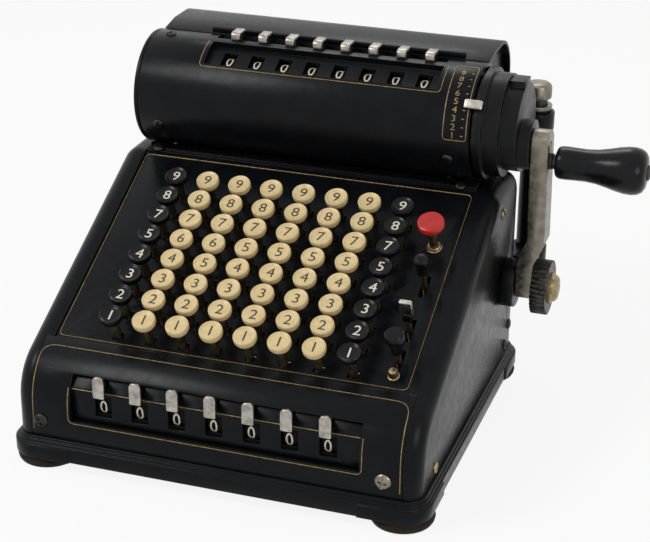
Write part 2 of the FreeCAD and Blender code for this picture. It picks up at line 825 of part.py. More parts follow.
def key_panel():
    """Sloping panel with a square hole for each key and openings for the control column."""
    body = new_body("key_panel", y="-panel_front", z="panel_front_height", turn="slope_angle")
    sketch = new_sketch(body, "XY_Plane", "-panel_thickness")
    half = "(cheek_gap / 2 - joint_gap)"
    rectangle(sketch, f"-{half}", half, "-front_seam + joint_gap", "panel_length - front_seam")
    pad(body, sketch, "panel_thickness")
    sketch = new_sketch(body, "XY_Plane", "-panel_thickness")
    hole = "(stem_side / 2 + stem_gap)"
    for column in range(int(size("key_columns"))):
        across = f"(key_pitch_across * {column} - key_field_left)"
        rectangle(sketch, f"{across} - {hole}", f"{across} + {hole}", f"key_first_row - {hole}",
                  f"key_first_row + {hole}")
    row = cut(body, sketch, "panel_thickness")
    repeat(body, "Y_Axis", "key_pitch_up", "key_rows", row)
    sketch = new_sketch(body, "XY_Plane", "-panel_thickness")
    circle(sketch, "button_across", "button_up", "bush_radius - 1")
    for up in ("shift_up", "tab_up", "clear_up"):
        rectangle(sketch, "lever_across - lever_stem - lever_gap", "lever_across + lever_stem + lever_gap",
                  f"{up} - lever_slot_length / 2", f"{up} + lever_slot_length / 2")
    cut(body, sketch, "panel_thickness")


def ledge_strip():
    """Beaded strip between the key panel and the register housing."""
    body = new_body("ledge_strip", y="-panel_front", z="panel_front_height", turn="slope_angle")
    half = "(cheek_gap / 2 - joint_gap)"
    sketch = new_sketch(body, "YZ_Plane", f"-{half}")
    low = "(panel_length - front_seam + joint_gap)"
    rectangle(sketch, low, f"{low} + ledge_length", "-ledge_thickness", "0")
    pad(body, sketch, f"2 * {half}")
    for order in (0, 2):
        sketch = new_sketch(body, "YZ_Plane", f"-{half}")
        rectangle(sketch, f"{low} + {order} * ledge_bead", f"{low} + {order + 1} * ledge_bead", "0",
                  "ledge_bead_rise")
        pad(body, sketch, f"2 * {half}")


def rear_panel():
    """Flat plate on the back of the two cheeks."""
    body = new_body("rear_panel")
    sketch = new_sketch(body, "YZ_Plane", "-(cheek_gap / 2 + rear_plate_lap)")
    rectangle(sketch, "casing_rear", "casing_rear + rear_plate", "base_top", "deck_height - joint_gap")
    pad(body, sketch, "cheek_gap + 2 * rear_plate_lap")


def drum_shell():
    """Round register housing with its recessed window plate; Z points through the window."""
    body = new_body("drum_shell", y="drum_y", z="drum_height", turn="90 - window_turn")
    sketch = new_sketch(body, "YZ_Plane", "-drum_left")
    circle(sketch, "0", "0", "drum_radius")
    circle(sketch, "0", "0", "drum_radius - drum_wall")
    pad(body, sketch, "drum_left + drum_right")
    sketch = new_sketch(body, "YZ_Plane", "wall_left")
    circle(sketch, "0", "0", "drum_radius - drum_wall / 2")
    circle(sketch, "0", "0", "drum_boss_radius")
    pad(body, sketch, "gear_left - 1 - window_right - window_rim - joint_gap")
    sketch = new_sketch(body, "XY_Plane", "window_floor - window_plate")
    rim = "(window_chord / 2 + window_rim)"
    rectangle(sketch, "-window_left - window_rim", "window_right + window_rim", f"-{rim}", rim)
    pad(body, sketch, "drum_radius - drum_wall - window_floor + window_plate")
    sketch = new_sketch(body, "XY_Plane", "window_floor")
    rectangle(sketch, "-window_left", "window_right", "-window_chord / 2", "window_chord / 2")
    cut(body, sketch, "drum_radius")
    inner, outer = "(drum_radius - 2 * drum_wall)", "(drum_radius + drum_wall)"
    sectors = (
        ("90 - window_turn - result_slot_front", "90 - window_turn + result_slot_rear",
         "-window_left", "window_left + window_right"),
        ("270 - window_turn - gear_slot_turn", "270 - window_turn + gear_slot_turn",
         "gear_left - 1", "gear_width + 2"),
    )
    for start, stop, left, width in sectors:
        sketch = new_sketch(body, "YZ_Plane", left)
        corners = [(f"-{inner} * sin(-({start}))", f"{inner} * cos({start})"),
                   (f"-{outer} * sin(-({start}))", f"{outer} * cos({start})"),
                   (f"1.15 * {outer} * sin(({start} + {stop}) / 2)",
                    f"1.15 * {outer} * cos(({start} + {stop}) / 2)"),
                   (f"{outer} * sin({stop})", f"{outer} * cos({stop})"),
                   (f"{inner} * sin({stop})", f"{inner} * cos({stop})")]
        polygon(sketch, corners)
        cut(body, sketch, width)
    sketch = new_sketch(body, "XY_Plane", "window_floor - window_plate")
    wide, tall = "result_window_width / 2", "result_window_height / 2"
    rectangle(sketch, f"-result_first - {wide}", f"-result_first + {wide}", f"-{tall}", tall)
    window = cut(body, sketch, "window_plate")
    repeat(body, "X_Axis", "result_pitch", "result_count", window)


def drum_end_cap():
    """Disc on the left end of the housing, with the rotor's bearing inside."""
    body = new_body("drum_end_cap", "-drum_left", "drum_y", "drum_height")
    sketch = new_sketch(body, "XY_Plane")
    polygon(sketch, [
        ("-drum_cap_thickness", "0"),
        ("-drum_cap_thickness", "drum_radius"),
        ("0", "drum_radius"),
        ("0", "drum_boss_radius"),
        ("drum_boss_length", "drum_boss_radius"),
        ("drum_boss_length", "rotor_shaft_radius + rotor_shaft_fit"),
        ("0", "rotor_shaft_radius + rotor_shaft_fit"),
        ("0", "0"),
    ])
    turn(body, sketch, "H_Axis")


def rear_cover():
    """Curved sheet housing behind the drum, closed at the left and recessed at the right."""
    body = new_body("rear_cover", "-drum_left")
    sheet_inner = "rear_sheet"
    outer = [
        ("rear_lip_y", "rear_lip_height"),
        ("rear_rise_y", "rear_top"),
        ("rear_depth", "rear_top"),
        ("rear_depth", "rear_bottom"),
        ("casing_rear", "deck_height + joint_gap"),
    ]
    inner = [
        (f"casing_rear - {sheet_inner}", f"deck_height + joint_gap + {sheet_inner}"),
        (f"rear_depth - {sheet_inner}", f"rear_bottom + {sheet_inner}"),
        (f"rear_depth - {sheet_inner}", f"rear_top - {sheet_inner}"),
        ("rear_rise_y", f"rear_top - {sheet_inner}"),
        ("rear_lip_y", f"rear_lip_height - {sheet_inner}"),
    ]
    sketch = new_sketch(body, "YZ_Plane")
    polygon(sketch, outer + inner)
    pad(body, sketch, "drum_left + drum_right")
    deep, low = value("rear_depth"), value("rear_bottom")

    def fold(edge, away, high):
        spot = middle(edge)
        near = abs(spot.y - (deep - away)) < 0.05
        return runs_along(edge, AXES["x"]) and near and (spot.z > low + 20) == high

    thick = value("rear_sheet")
    round_edges(body, "rear_curve", lambda e: fold(e, 0, True))
    round_edges(body, "rear_curve - rear_sheet", lambda e: fold(e, thick, True))
    round_edges(body, "rear_fold", lambda e: fold(e, 0, False))
    round_edges(body, "rear_fold - rear_sheet", lambda e: fold(e, thick, False))
    for left in ("0", "drum_left + drum_right - rear_end_recess - rear_sheet"):
        sketch = new_sketch(body, "YZ_Plane", left)
        within = "rear_sheet / 2"
        polygon(sketch, [
            ("rear_lip_y", f"rear_lip_height - {within}"),
            ("rear_rise_y", f"rear_top - {within}"),
            ("rear_depth - rear_curve", f"rear_top - {within}"),
            (f"rear_depth - 0.3 * rear_curve - {within}", f"rear_top - 0.3 * rear_curve - {within}"),
            (f"rear_depth - {within}", "rear_top - rear_curve"),
            (f"rear_depth - {within}", "rear_bottom + rear_fold"),
            ("rear_depth - rear_fold", f"rear_bottom + {within}"),
            ("casing_rear", f"deck_height + joint_gap + {within}"),
        ])
        pad(body, sketch, "rear_sheet")
    sketch = new_sketch(body, "YZ_Plane")
    circle(sketch, "drum_y", "drum_height", "drum_radius + joint_gap / 2")
    cut(body, sketch, "drum_left + drum_right")


def lever_rail():
    """Ribbed rail along the top of the housing, behind the result levers."""
    body = new_body("lever_rail", "(window_right - window_left) / 2 - rail_length / 2")
    sketch = new_sketch(body, "YZ_Plane")
    front, rear = "rail_front", "(rail_front + rail_depth)"
    slope = "(rear_top - rear_lip_height) / (rear_rise_y - rear_lip_y)"
    low = f"(rear_lip_height + (rail_front - rear_lip_y) * {slope})"
    polygon(sketch, [
        (front, low),
        (rear, f"{low} + rail_depth * {slope}"),
        (rear, f"{low} + rail_height - 0.8"),
        (f"{rear} - 0.8", f"{low} + rail_height"),
        (front, f"{low} + rail_height - 0.6"),
    ])
    pad(body, sketch, "rail_length")


def hub_casting():
    """Stepped round casting on the right end, with a square lug and the crank's parking boss."""
    body = new_body("hub_casting", y="drum_y", z="drum_height")
    sketch = new_sketch(body, "XY_Plane")
    bore = "rotor_shaft_radius + rotor_shaft_fit"
    polygon(sketch, [
        ("hub_left", bore),
        ("hub_left", "hub_spigot_radius"),
        ("ring_left", "hub_spigot_radius"),
        ("ring_left", "ring_radius"),
        ("disc_left", "ring_radius"),
        ("disc_left", "disc_radius"),
        ("face_left", "disc_radius"),
        ("face_left", "face_radius"),
        ("hub_right", "face_radius"),
        ("hub_right", "0"),
        ("rotor_shaft_right + 1", "0"),
        ("rotor_shaft_right + 1", bore),
    ])
    turn(body, sketch, "H_Axis")
    sketch = new_sketch(body, "YZ_Plane", "hub_left")
    many_sided(sketch, "0", "0", "(drum_radius - drum_wall - joint_gap)", "hub_flange_sides")
    circle(sketch, "0", "0", "hub_spigot_radius - 1")
    pad(body, sketch, "hub_flange")
    sketch = new_sketch(body, "YZ_Plane", "lug_left")
    rectangle(sketch, "-lug_width / 2", "lug_width / 2", "face_radius - 4", "lug_rise")
    pad(body, sketch, "hub_right - lug_left")
    sketch = new_sketch(body, "YZ_Plane", "hub_right - 1")
    circle(sketch, "park_y - drum_y", "park_height - drum_height", "park_radius")
    pad(body, sketch, "1 + bearing_length + arm_offset - (hub_right - casing_width / 2) - arm_gap")


def register_rods():
    """Axle of the front number wheels and axle of the result wheels."""
    body = new_body("register_rods")
    sketch = new_sketch(body, "YZ_Plane", "-frame_across")
    circle(sketch, "-entry_axis", "entry_height", "axle_radius")
    pad(body, sketch, "2 * frame_across")
    sketch = new_sketch(body, "YZ_Plane", "-drum_left")
    circle(sketch, "result_y", "result_z", "axle_radius")
    pad(body, sketch, "drum_left + wall_left")


def pivot_y(up, depth="lever_pivot_depth"):
    """Return how far back a point up the slope lies, at a depth under the panel."""
    return f"(-panel_front + {up} * cos(slope_angle) + {depth} * sin(slope_angle))"


def pivot_z(up, depth="lever_pivot_depth"):
    """Return how high a point up the slope lies, at a depth under the panel."""
    return f"(panel_front_height + {up} * sin(slope_angle) - {depth} * cos(slope_angle))"


def side_frames():
    """Two steel plates that carry the axles; the right one has the idler's stud and the lever pins."""
    body = new_body("side_frames")
    under = "(panel_thickness + rail_rise + 2)"
    foot = "base_underside + bottom_thickness"
    rear = "(base_depth / 2 - base_rim - joint_gap)"
    for left in ("-(frame_across + frame_thickness)", "frame_across"):
        sketch = new_sketch(body, "YZ_Plane", left)
        polygon(sketch, [
            (f"-{rear}", foot),
            (rear, foot),
            (rear, f"deck_height - {under}"),
            ("deck_start", f"deck_height - {under}"),
            ("-panel_front + front_seam", f"{rail('(-panel_front + front_seam)')} - {under}"),
            (f"-{rear}", "tray_ledge"),
        ])
        pad(body, sketch, "frame_thickness")
    sketch = new_sketch(body, "YZ_Plane", "frame_across")
    circle(sketch, "drum_y", "crank_height", "shaft_radius + 1")
    cut(body, sketch, "frame_thickness")
    sketch = new_sketch(body, "YZ_Plane", "gear_left - 2")
    circle(sketch, "drum_y + idler_set_back", "crank_height + crank_span / 2", "idler_stud_radius")
    pad(body, sketch, "frame_across - gear_left + 2")
    sketch = new_sketch(body, "YZ_Plane", "lever_across - lever_hub_width / 2 - 1")
    for up in ("shift_up", "tab_up", "clear_up"):
        circle(sketch, pivot_y(up), pivot_z(up), "lever_pin_radius")
    pad(body, sketch, "frame_across - lever_across + lever_hub_width / 2 + 1")


def gear_disc(body, teeth, phase, bore=""):
    """Add a toothed wheel round the X axis of a body, its first tooth turned from Z by a phase."""
    sketch = new_sketch(body, "YZ_Plane", "gear_left")
    pitch_radius = f"({teeth} * tooth_step)"
    root, tip = f"({pitch_radius} - gear_dedendum)", f"({pitch_radius} + gear_addendum)"
    circle(sketch, "0", "0", root)
    if bore:
        circle(sketch, "0", "0", bore)
    pad(body, sketch, "gear_width")
    sketch = new_sketch(body, "YZ_Plane", "gear_left")
    foot = "(tooth_thickness / 2 + gear_dedendum * flank_slope)"
    crest = "(tooth_thickness / 2 - gear_addendum * flank_slope)"
    inner = f"({root} - 0.6)"
    corners = []
    outline = ((inner, f"-{foot}"), (root, f"-{foot}"), (tip, f"-{crest}"), (tip, crest), (root, foot),
               (inner, foot))
    for radius, half in outline:
        corners.append((f"{radius} * sin({phase}) + {half} * cos({phase})",
                        f"{radius} * cos({phase}) - {half} * sin({phase})"))
    polygon(sketch, corners)
    tooth = pad(body, sketch, "gear_width")
    repeat_round(body, "X_Axis", teeth, tooth)


def crank_shaft():
    """Steel shaft of the crank with its gear inside the casing."""
    body = new_body("crank_shaft", y="drum_y", z="crank_height")
    gear_disc(body, "gear_teeth", "idler_lean")
    sketch = new_sketch(body, "YZ_Plane", "shaft_left")
    circle(sketch, "0", "0", "shaft_radius")
    pad(body, sketch, "casing_width / 2 + bearing_length + arm_thickness + nut_length - shaft_left")


def idler_gear():
    """Gear between the crank shaft and the rotor, on its stud behind the line of their axes."""
    body = new_body("idler_gear", y="drum_y + idler_set_back", z="crank_height + crank_span / 2")
    gear_disc(body, "idler_teeth", "(idler_lean + 180 deg / idler_teeth)", "idler_stud_radius + axle_fit")


def hexagon(sketch, flats):
    """Draw a hexagon round the sketch's origin, given the distance to its flats."""
    corners = []
    for step in range(6):
        angle = f"({step} * 60)"
        corners.append((f"{flats} / cos(30) * sin({angle})", f"{flats} / cos(30) * cos({angle})"))
    polygon(sketch, corners)


def rotor_shaft():
    """Shaft of the pinwheels with its gear, six-sided between its journals."""
    body = new_body("rotor_shaft", y="drum_y", z="drum_height")
    gear_disc(body, "gear_teeth", "(-idler_lean * (1 + 2 * idler_teeth / gear_teeth))")
    sketch = new_sketch(body, "YZ_Plane", "-drum_left + joint_gap")
    circle(sketch, "0", "0", "rotor_shaft_radius")
    pad(body, sketch, "drum_boss_length")
    sketch = new_sketch(body, "YZ_Plane", "-drum_left + drum_boss_length + joint_gap")
    hexagon(sketch, "rotor_flats")
    pad(body, sketch, "drum_left - drum_boss_length - joint_gap + gear_left")
    sketch = new_sketch(body, "YZ_Plane", "gear_left")
    circle(sketch, "0", "0", "rotor_shaft_radius")
    pad(body, sketch, "rotor_shaft_right - gear_left")


def pinwheel_discs():
    """Row of pinwheels, each with nine setting pins on part of its rim."""
    body = new_body("pinwheel_discs", "-result_first - pinwheel_width / 2", "drum_y", "drum_height")
    sketch = new_sketch(body, "YZ_Plane")
    corners = []
    for pin_number in range(int(size("pin_count"))):
        for part, radius in ((0, "pinwheel_radius"), (1, "(pinwheel_radius + pin_rise)")):
            corners.append((f"{radius} * sin({2 * pin_number + part} * 10)",
                            f"{radius} * cos({2 * pin_number + part} * 10)"))
    for quarter in (190, 225, 260, 295, 330):
        corners.append((f"pinwheel_radius * sin({quarter})", f"pinwheel_radius * cos({quarter})"))
    polygon(sketch, corners)
    hexagon(sketch, "(rotor_flats + seat_gap)")
    pad(body, sketch, "pinwheel_width")
    repeat(body, "X_Axis", "result_pitch", "result_count")


def crank_bearing():
    """Round bearing boss of the crank on the right cheek."""
    body = new_body("crank_bearing", "casing_width / 2", "drum_y", "crank_height")
    sketch = new_sketch(body, "XY_Plane")
    bore = "shaft_radius + shaft_fit"
    polygon(sketch, [
        ("0", bore),
        ("0", "bearing_radius"),
        ("bearing_length - arm_gap", "bearing_radius"),
        ("bearing_length - arm_gap", bore),
    ])
    turn(body, sketch, "H_Axis")


def crank_arm():
    """Thick flat arm with a joggle above its hub and round ends; Z runs up the arm."""
    body = new_body("crank_arm", "casing_width / 2 + bearing_length", "drum_y", "crank_height", "crank_lean")
    sketch = new_sketch(body, "XZ_Plane", "-arm_width / 2")
    low, high = "-arm_width / 2", "(arm_length + arm_width / 2)"
    polygon(sketch, [
        ("0", low),
        ("arm_thickness", low),
        ("arm_thickness", "arm_bend_low"),
        ("arm_thickness + arm_offset", "arm_bend_high"),
        ("arm_thickness + arm_offset", high),
        ("arm_offset", high),
        ("arm_offset", "arm_bend_high"),
        ("0", "arm_bend_low"),
    ])
    pad(body, sketch, "arm_width")
    top, bottom = value(high), value(low)
    round_edges(body, "arm_width / 2 - 0.02", lambda e: runs_along(e, AXES["x"])
                and (abs(middle(e).z - top) < 0.01 or abs(middle(e).z - bottom) < 0.01))
    sketch = new_sketch(body, "YZ_Plane")
    circle(sketch, "0", "0", "shaft_radius + seat_gap")
    cut(body, sketch, "arm_thickness")
    sketch = new_sketch(body, "YZ_Plane", "arm_offset + arm_thickness - 3")
    circle(sketch, "0", "arm_length", "arm_oil_hole")
    cut(body, sketch, "3")


def knurled_nut():
    """Knurled nut that holds the arm on its shaft."""
    body = new_body("knurled_nut", "casing_width / 2 + bearing_length + arm_thickness", "drum_y",
                    "crank_height")
    sketch = new_sketch(body, "YZ_Plane")
    corners = []
    for tooth in range(int(size("nut_teeth"))):
        for part, radius in ((0, "nut_radius"), (1, "(nut_radius - nut_tooth)")):
            angle = f"{2 * tooth + part} * 180 / nut_teeth"
            corners.append((f"{radius} * sin({angle})", f"{radius} * cos({angle})"))
    polygon(sketch, corners)
    circle(sketch, "0", "0", "shaft_radius + seat_gap")
    pad(body, sketch, "nut_length")


def hub_cap():
    """Brass cap nut on the end of the crank's shaft."""
    body = new_body("hub_cap", "casing_width / 2 + bearing_length + arm_thickness + nut_length", "drum_y",
                    "crank_height")
    sketch = new_sketch(body, "XY_Plane")
    polygon(sketch, [
        ("0", "0"),
        ("0", "brass_cap_radius"),
        ("brass_cap_length", "brass_cap_radius"),
        ("brass_cap_length", "0"),
    ])
    turn(body, sketch, "H_Axis")


def handle_spindle():
    """Steel spindle of the handle with its collar and end rivet."""
    body = new_body("handle_spindle", "arm_outer", "grip_y", "grip_z")
    sketch = new_sketch(body, "XY_Plane")
    end = "(spindle_collar_length + 2 * grip_gap + grip_length)"
    polygon(sketch, [
        ("0", "0"),
        ("0", "spindle_collar"),
        ("spindle_collar_length", "spindle_collar"),
        ("spindle_collar_length", "spindle_radius"),
        (end, "spindle_radius"),
        (end, "spindle_collar"),
        (f"{end} + spindle_rivet", "spindle_collar"),
        (f"{end} + spindle_rivet", "0"),
    ])
    turn(body, sketch, "H_Axis")


def handle_grip():
    """Turned, waisted grip that spins on the spindle."""
    body = new_body("handle_grip", "arm_outer + spindle_collar_length + grip_gap", "grip_y", "grip_z")
    bore = "spindle_radius + grip_fit"
    sketch = new_sketch(body, "XY_Plane")
    polygon(sketch, [
        ("0", bore),
        ("0", "grip_inner_radius - grip_start_round"),
        ("grip_start_round", "grip_inner_radius"),
        ("grip_waist_start", "grip_inner_radius"),
        ("grip_waist_start", "grip_waist_radius"),
        ("grip_flare_start", "grip_waist_radius"),
        ("grip_flare_end", "grip_bulb_radius"),
        ("grip_length - grip_end_round", "grip_bulb_radius"),
        ("grip_length", "grip_bulb_radius - grip_end_round"),
        ("grip_length", bore),
    ])
    turn(body, sketch, "H_Axis")


def key_column(number):
    """Keys of one column: a tapered cap on a square stem, repeated up the slope."""
    across = f"key_pitch_across * {number} - key_field_left"
    body = new_body(f"key_column_{number + 1}", across, "-panel_front", "panel_front_height", "slope_angle")
    sketch = new_sketch(body, "XY_Plane", "-stem_below")
    stem = "stem_side / 2"
    rectangle(sketch, f"-{stem}", stem, f"key_first_row - {stem}", f"key_first_row + {stem}")
    pad(body, sketch, "stem_below + key_height - cap_height")
    sketch = new_sketch(body, "XY_Plane", "key_height - cap_height")
    many_sided(sketch, "0", "key_first_row", "cap_radius", "cap_sides")
    pad(body, sketch, "cap_height")
    taper(body, "key_height - cap_height", "key_height", "cap_taper")
    repeat(body, "Y_Axis", "key_pitch_up", "key_rows")


def red_button():
    """Round clearing button, wider at its top, on its stem."""
    body = new_body("red_button", "button_across", pivot_y("button_up", "0"), pivot_z("button_up", "0"),
                    "slope_angle")
    sketch = new_sketch(body, "XY_Plane", "-stem_below")
    circle(sketch, "0", "0", "button_stem")
    pad(body, sketch, "stem_below + button_height - button_thickness")
    sketch = new_sketch(body, "XY_Plane", "button_height - button_thickness")
    many_sided(sketch, "0", "0", "button_radius", "button_sides")
    pad(body, sketch, "button_thickness")
    slope = "atan((button_radius - button_foot_radius) / button_thickness)"
    taper(body, "button_height - button_thickness", "button_height", slope)


def control_lever(name, up, height):
    """Start a rocking lever of the control column: hub below the panel and a square stem."""
    body = new_body(name, "lever_across", pivot_y(up), pivot_z(up), "slope_angle")
    sketch = new_sketch(body, "YZ_Plane", "-lever_hub_width / 2")
    many_sided(sketch, "0", "0", "lever_hub", "bore_sides")
    pad(body, sketch, "lever_hub_width")
    sketch = new_sketch(body, "XY_Plane", "lever_hub - 1")
    rectangle(sketch, "-lever_stem", "lever_stem", "-lever_stem", "lever_stem")
    pad(body, sketch, f"lever_pivot_depth + {height} - lever_hub - 3")
    sketch = new_sketch(body, "YZ_Plane", "-lever_hub_width / 2")
    circle(sketch, "0", "0", "lever_pin_radius + axle_fit")
    cut(body, sketch, "lever_hub_width")
    return body


def shift_lever():
    """Lever with a slim bullet knob."""
    body = control_lever("shift_lever", "shift_up", "shift_height")
    top = "(lever_pivot_depth + shift_height)"
    steps = (
        (f"{top} - shift_knob_length", "shift_knob_radius - shift_knob_draw", "shift_knob_foot"),
        (f"{top} - shift_knob_length + shift_knob_foot", "shift_knob_radius",
         "shift_knob_length - shift_knob_foot - shift_knob_crown"),
        (f"{top} - shift_knob_crown", "shift_knob_radius - shift_knob_draw", "shift_knob_crown"),
    )
    for low, radius, length in steps:
        sketch = new_sketch(body, "XY_Plane", low)
        many_sided(sketch, "0", "0", f"({radius})", "knob_sides")
        pad(body, sketch, length)


def tab_lever():
    """Lever with a flat nickel tab."""
    body = control_lever("tab_lever", "tab_up", "tab_height")
    sketch = new_sketch(body, "XY_Plane", "lever_pivot_depth + tab_height - tab_length")
    rectangle(sketch, "-tab_width / 2", "tab_width / 2", "-tab_depth / 2", "tab_depth / 2")
    pad(body, sketch, "tab_length")


def clear_lever():
    """Lever with a wide mushroom knob on a neck."""
    body = control_lever("clear_lever", "clear_up", "clear_height")
    top = "(lever_pivot_depth + clear_height)"
    low = f"{top} - clear_knob_length"
    sketch = new_sketch(body, "XY_Plane", f"{low} - clear_neck_length")
    many_sided(sketch, "0", "0", "clear_neck_radius", "knob_sides")
    pad(body, sketch, "clear_neck_length")
    sketch = new_sketch(body, "XY_Plane", low)
    many_sided(sketch, "0", "0", "clear_knob_radius", "knob_sides")
    pad(body, sketch, "clear_knob_length")


def lever_bushes():
    """Brass bush of the clearing button and a brass stud in front of the levers."""
    body = new_body("lever_bushes", y="-panel_front", z="panel_front_height", turn="slope_angle")
    sketch = new_sketch(body, "XY_Plane", "0")
    many_sided(sketch, "button_across", "button_up", "bush_radius", "bush_sides")
    circle(sketch, "button_across", "button_up", "button_stem + axle_fit")
    pad(body, sketch, "bush_height")
    sketch = new_sketch(body, "XY_Plane")
    stud_up = "clear_up - lever_slot_length / 2 - stud_gap"
    many_sided(sketch, "lever_across", stud_up, "stud_radius", "bush_sides")
    pad(body, sketch, "stud_height")


def entry_lever(number):
    """Number wheel of the front register with its setting tab."""
    across = f"entry_pitch * {number} - entry_first"
    body = new_body(f"entry_lever_{number + 1}", across, "-entry_axis", "entry_height")
    sketch = new_sketch(body, "YZ_Plane", "-entry_wheel_width / 2")
    corners = [(f"entry_wheel_radius * sin({step} * 36)", f"entry_wheel_radius * cos({step} * 36)")
               for step in range(10)]
    polygon(sketch, corners)
    pad(body, sketch, "entry_wheel_width")
    sketch = new_sketch(body, "YZ_Plane", "-entry_arm_thickness / 2")
    front = "-(entry_tab_front - entry_axis)"
    top, bottom = "(entry_tab_top - entry_height)", "(entry_tab_bottom - entry_height)"
    back = f"({front} + entry_tab_thickness)"
    polygon(sketch, [
        ("-2", "entry_wheel_radius - 3"),
        (back, f"{top} - 1.5"),
        (back, f"{top} - 5.5"),
        ("-entry_wheel_radius + 3", "2"),
    ])
    pad(body, sketch, "entry_arm_thickness")
    sketch = new_sketch(body, "YZ_Plane", "-entry_tab_width / 2")
    polygon(sketch, [
        (front, f"{bottom} + 1"),
        (f"{front} + 1", bottom),
        (back, bottom),
        (back, top),
        (f"{front} + 1.4", top),
        (front, f"{top} - 1.4"),
    ])
    pad(body, sketch, "entry_tab_width")
    sketch = new_sketch(body, "YZ_Plane", "-entry_wheel_width / 2")
    many_sided(sketch, "0", "0", "((axle_radius + axle_fit) / cos(180 / bore_sides))", "bore_sides")
    cut(body, sketch, "entry_wheel_width")


def result_lever(number):
    """Number wheel of the result register with its hooked tab."""
    across = f"result_pitch * {number} - result_first"
    body = new_body(f"result_lever_{number + 1}", across, "result_y", "result_z")
    sketch = new_sketch(body, "YZ_Plane", "-result_wheel_width / 2")
    corners = [(f"result_wheel_radius * sin({step} * 36 + 18 - 90 + window_turn)",
                f"result_wheel_radius * cos({step} * 36 + 18 - 90 + window_turn)") for step in range(10)]
    polygon(sketch, corners)
    pad(body, sketch, "result_wheel_width")
    sketch = new_sketch(body, "YZ_Plane", "-result_arm_thickness / 2")
    top = "(result_tab_top - result_tab_thickness - result_z)"
    upper = "(result_arm_top_y - result_y)"
    near, far = f"{upper} - result_arm_thickness / 2", f"{upper} + result_arm_thickness / 2"
    polygon(sketch, [
        ("0.5 * result_wheel_radius", "0.6 * result_wheel_radius"),
        ("0.7 * result_wheel_radius", "-0.1 * result_wheel_radius"),
        (far, "1.3 * result_wheel_radius"),
        (far, top),
        (near, top),
        (near, "1.4 * result_wheel_radius"),
    ])
    pad(body, sketch, "result_arm_thickness")
    sketch = new_sketch(body, "YZ_Plane", "-result_tab_width / 2")
    front, rear = "(result_tab_front - result_y)", "(result_tab_rear - result_y)"
    thick = "result_tab_thickness"
    polygon(sketch, [
        (front, f"{top} + {thick} - result_tab_drop"),
        (f"{front} + {thick}", f"{top} + {thick} - result_tab_drop"),
        (f"{front} + {thick}", top),
        (rear, top),
        (rear, f"{top} + {thick}"),
        (f"{front} + 1.2", f"{top} + {thick}"),
        (front, f"{top} + {thick} - 1.2"),
    ])
    pad(body, sketch, "result_tab_width")
    sketch = new_sketch(body, "YZ_Plane", "-result_wheel_width / 2")
    many_sided(sketch, "0", "0", "((axle_radius + axle_fit) / cos(180 / bore_sides))", "bore_sides")
    cut(body, sketch, "result_wheel_width")


def setting_slider():
    """Ring round the hub's spigot with a nickel pointer outside the housing; Z runs to the pointer."""
    body = new_body("setting_slider", "drum_right + slider_gap", "drum_y", "drum_height", "90 - slider_turn")
    sketch = new_sketch(body, "YZ_Plane")
    many_sided(sketch, "0", "0", "slider_ring_radius", "slider_ring_sides")
    circle(sketch, "0", "0", "hub_spigot_radius + slider_ring_fit")
    pad(body, sketch, "slider_ring_width")
    sketch = new_sketch(body, "YZ_Plane")
    half = "slider_width / 2"
    rectangle(sketch, f"-{half}", half, "slider_ring_radius - 1", "drum_radius + slider_lift")
    pad(body, sketch, "slider_ring_width")
    sketch = new_sketch(body, "YZ_Plane", "slider_ring_width / 2 - slider_length / 2 - 0.6")
    low = "(drum_radius + slider_lift)"
    polygon(sketch, [
        (f"-{half}", low),
        (half, low),
        (half, f"{low} + slider_thickness - 0.7"),
        (f"{half} - 0.7", f"{low} + slider_thickness"),
        (f"0.7 - {half}", f"{low} + slider_thickness"),
        (f"-{half}", f"{low} + slider_thickness - 0.7"),
    ])
    pad(body, sketch, "slider_length")


def column_tube():
    """Upright tube behind the crank with a bright collar at its top."""
    body = new_body("column_tube", "column_across", "column_y")
    sketch = new_sketch(body, "XZ_Plane")
    bore = "plunger_stem + axle_fit"
    polygon(sketch, [
        (bore, "column_bottom"),
        ("column_radius", "column_bottom"),
        ("column_radius", "column_top - collar_height"),
        ("collar_radius", "column_top - collar_height"),
        ("collar_radius", "column_top"),
        (bore, "column_top"),
    ])
    turn(body, sketch, "V_Axis")


def column_cap():
    """Nickel push cap of the column on its stem."""
    body = new_body("column_cap", "column_across", "column_y", "column_top + plunger_travel")
    sketch = new_sketch(body, "XZ_Plane")
    polygon(sketch, [
        ("0", "-plunger_travel - plunger_stem_length"),
        ("plunger_stem", "-plunger_travel - plunger_stem_length"),
        ("plunger_stem", "0"),
        ("plunger_radius", "0"),
        ("plunger_radius", "plunger_height - plunger_step"),
        ("plunger_radius - plunger_step", "plunger_height - plunger_step"),
        ("plunger_radius - plunger_step", "plunger_height"),
        ("0", "plunger_height"),
    ])
    turn(body, sketch, "V_Axis")


def column_brackets():
    """Two cast brackets that hold the column to the casing."""
    body = new_body("column_brackets")
    for level, start in (("bracket_low", "casing_rear"), ("bracket_high", "")):
        sketch = new_sketch(body, "XY_Plane", level)
        many_sided(sketch, "column_across", "column_y", "bracket_radius", "bracket_sides")
        pad(body, sketch, "bracket_height")
        sketch = new_sketch(body, "XY_Plane", level)
        half = "bracket_thickness / 2"
        if start:
            middle_x = "(column_across - bracket_radius + bracket_thickness / 2)"
            rectangle(sketch, f"{middle_x} - {half}", f"{middle_x} + {half}", start, "column_y")
        else:
            rectangle(sketch, "drum_right - rear_end_recess", "column_across", f"column_y - {half}",
                      f"column_y + {half}")
        pad(body, sketch, "bracket_height")
    for level in ("bracket_low", "bracket_high"):
        sketch = new_sketch(body, "XY_Plane", level)
        circle(sketch, "column_across", "column_y", "column_radius + seat_gap")
        cut(body, sketch, "bracket_height")


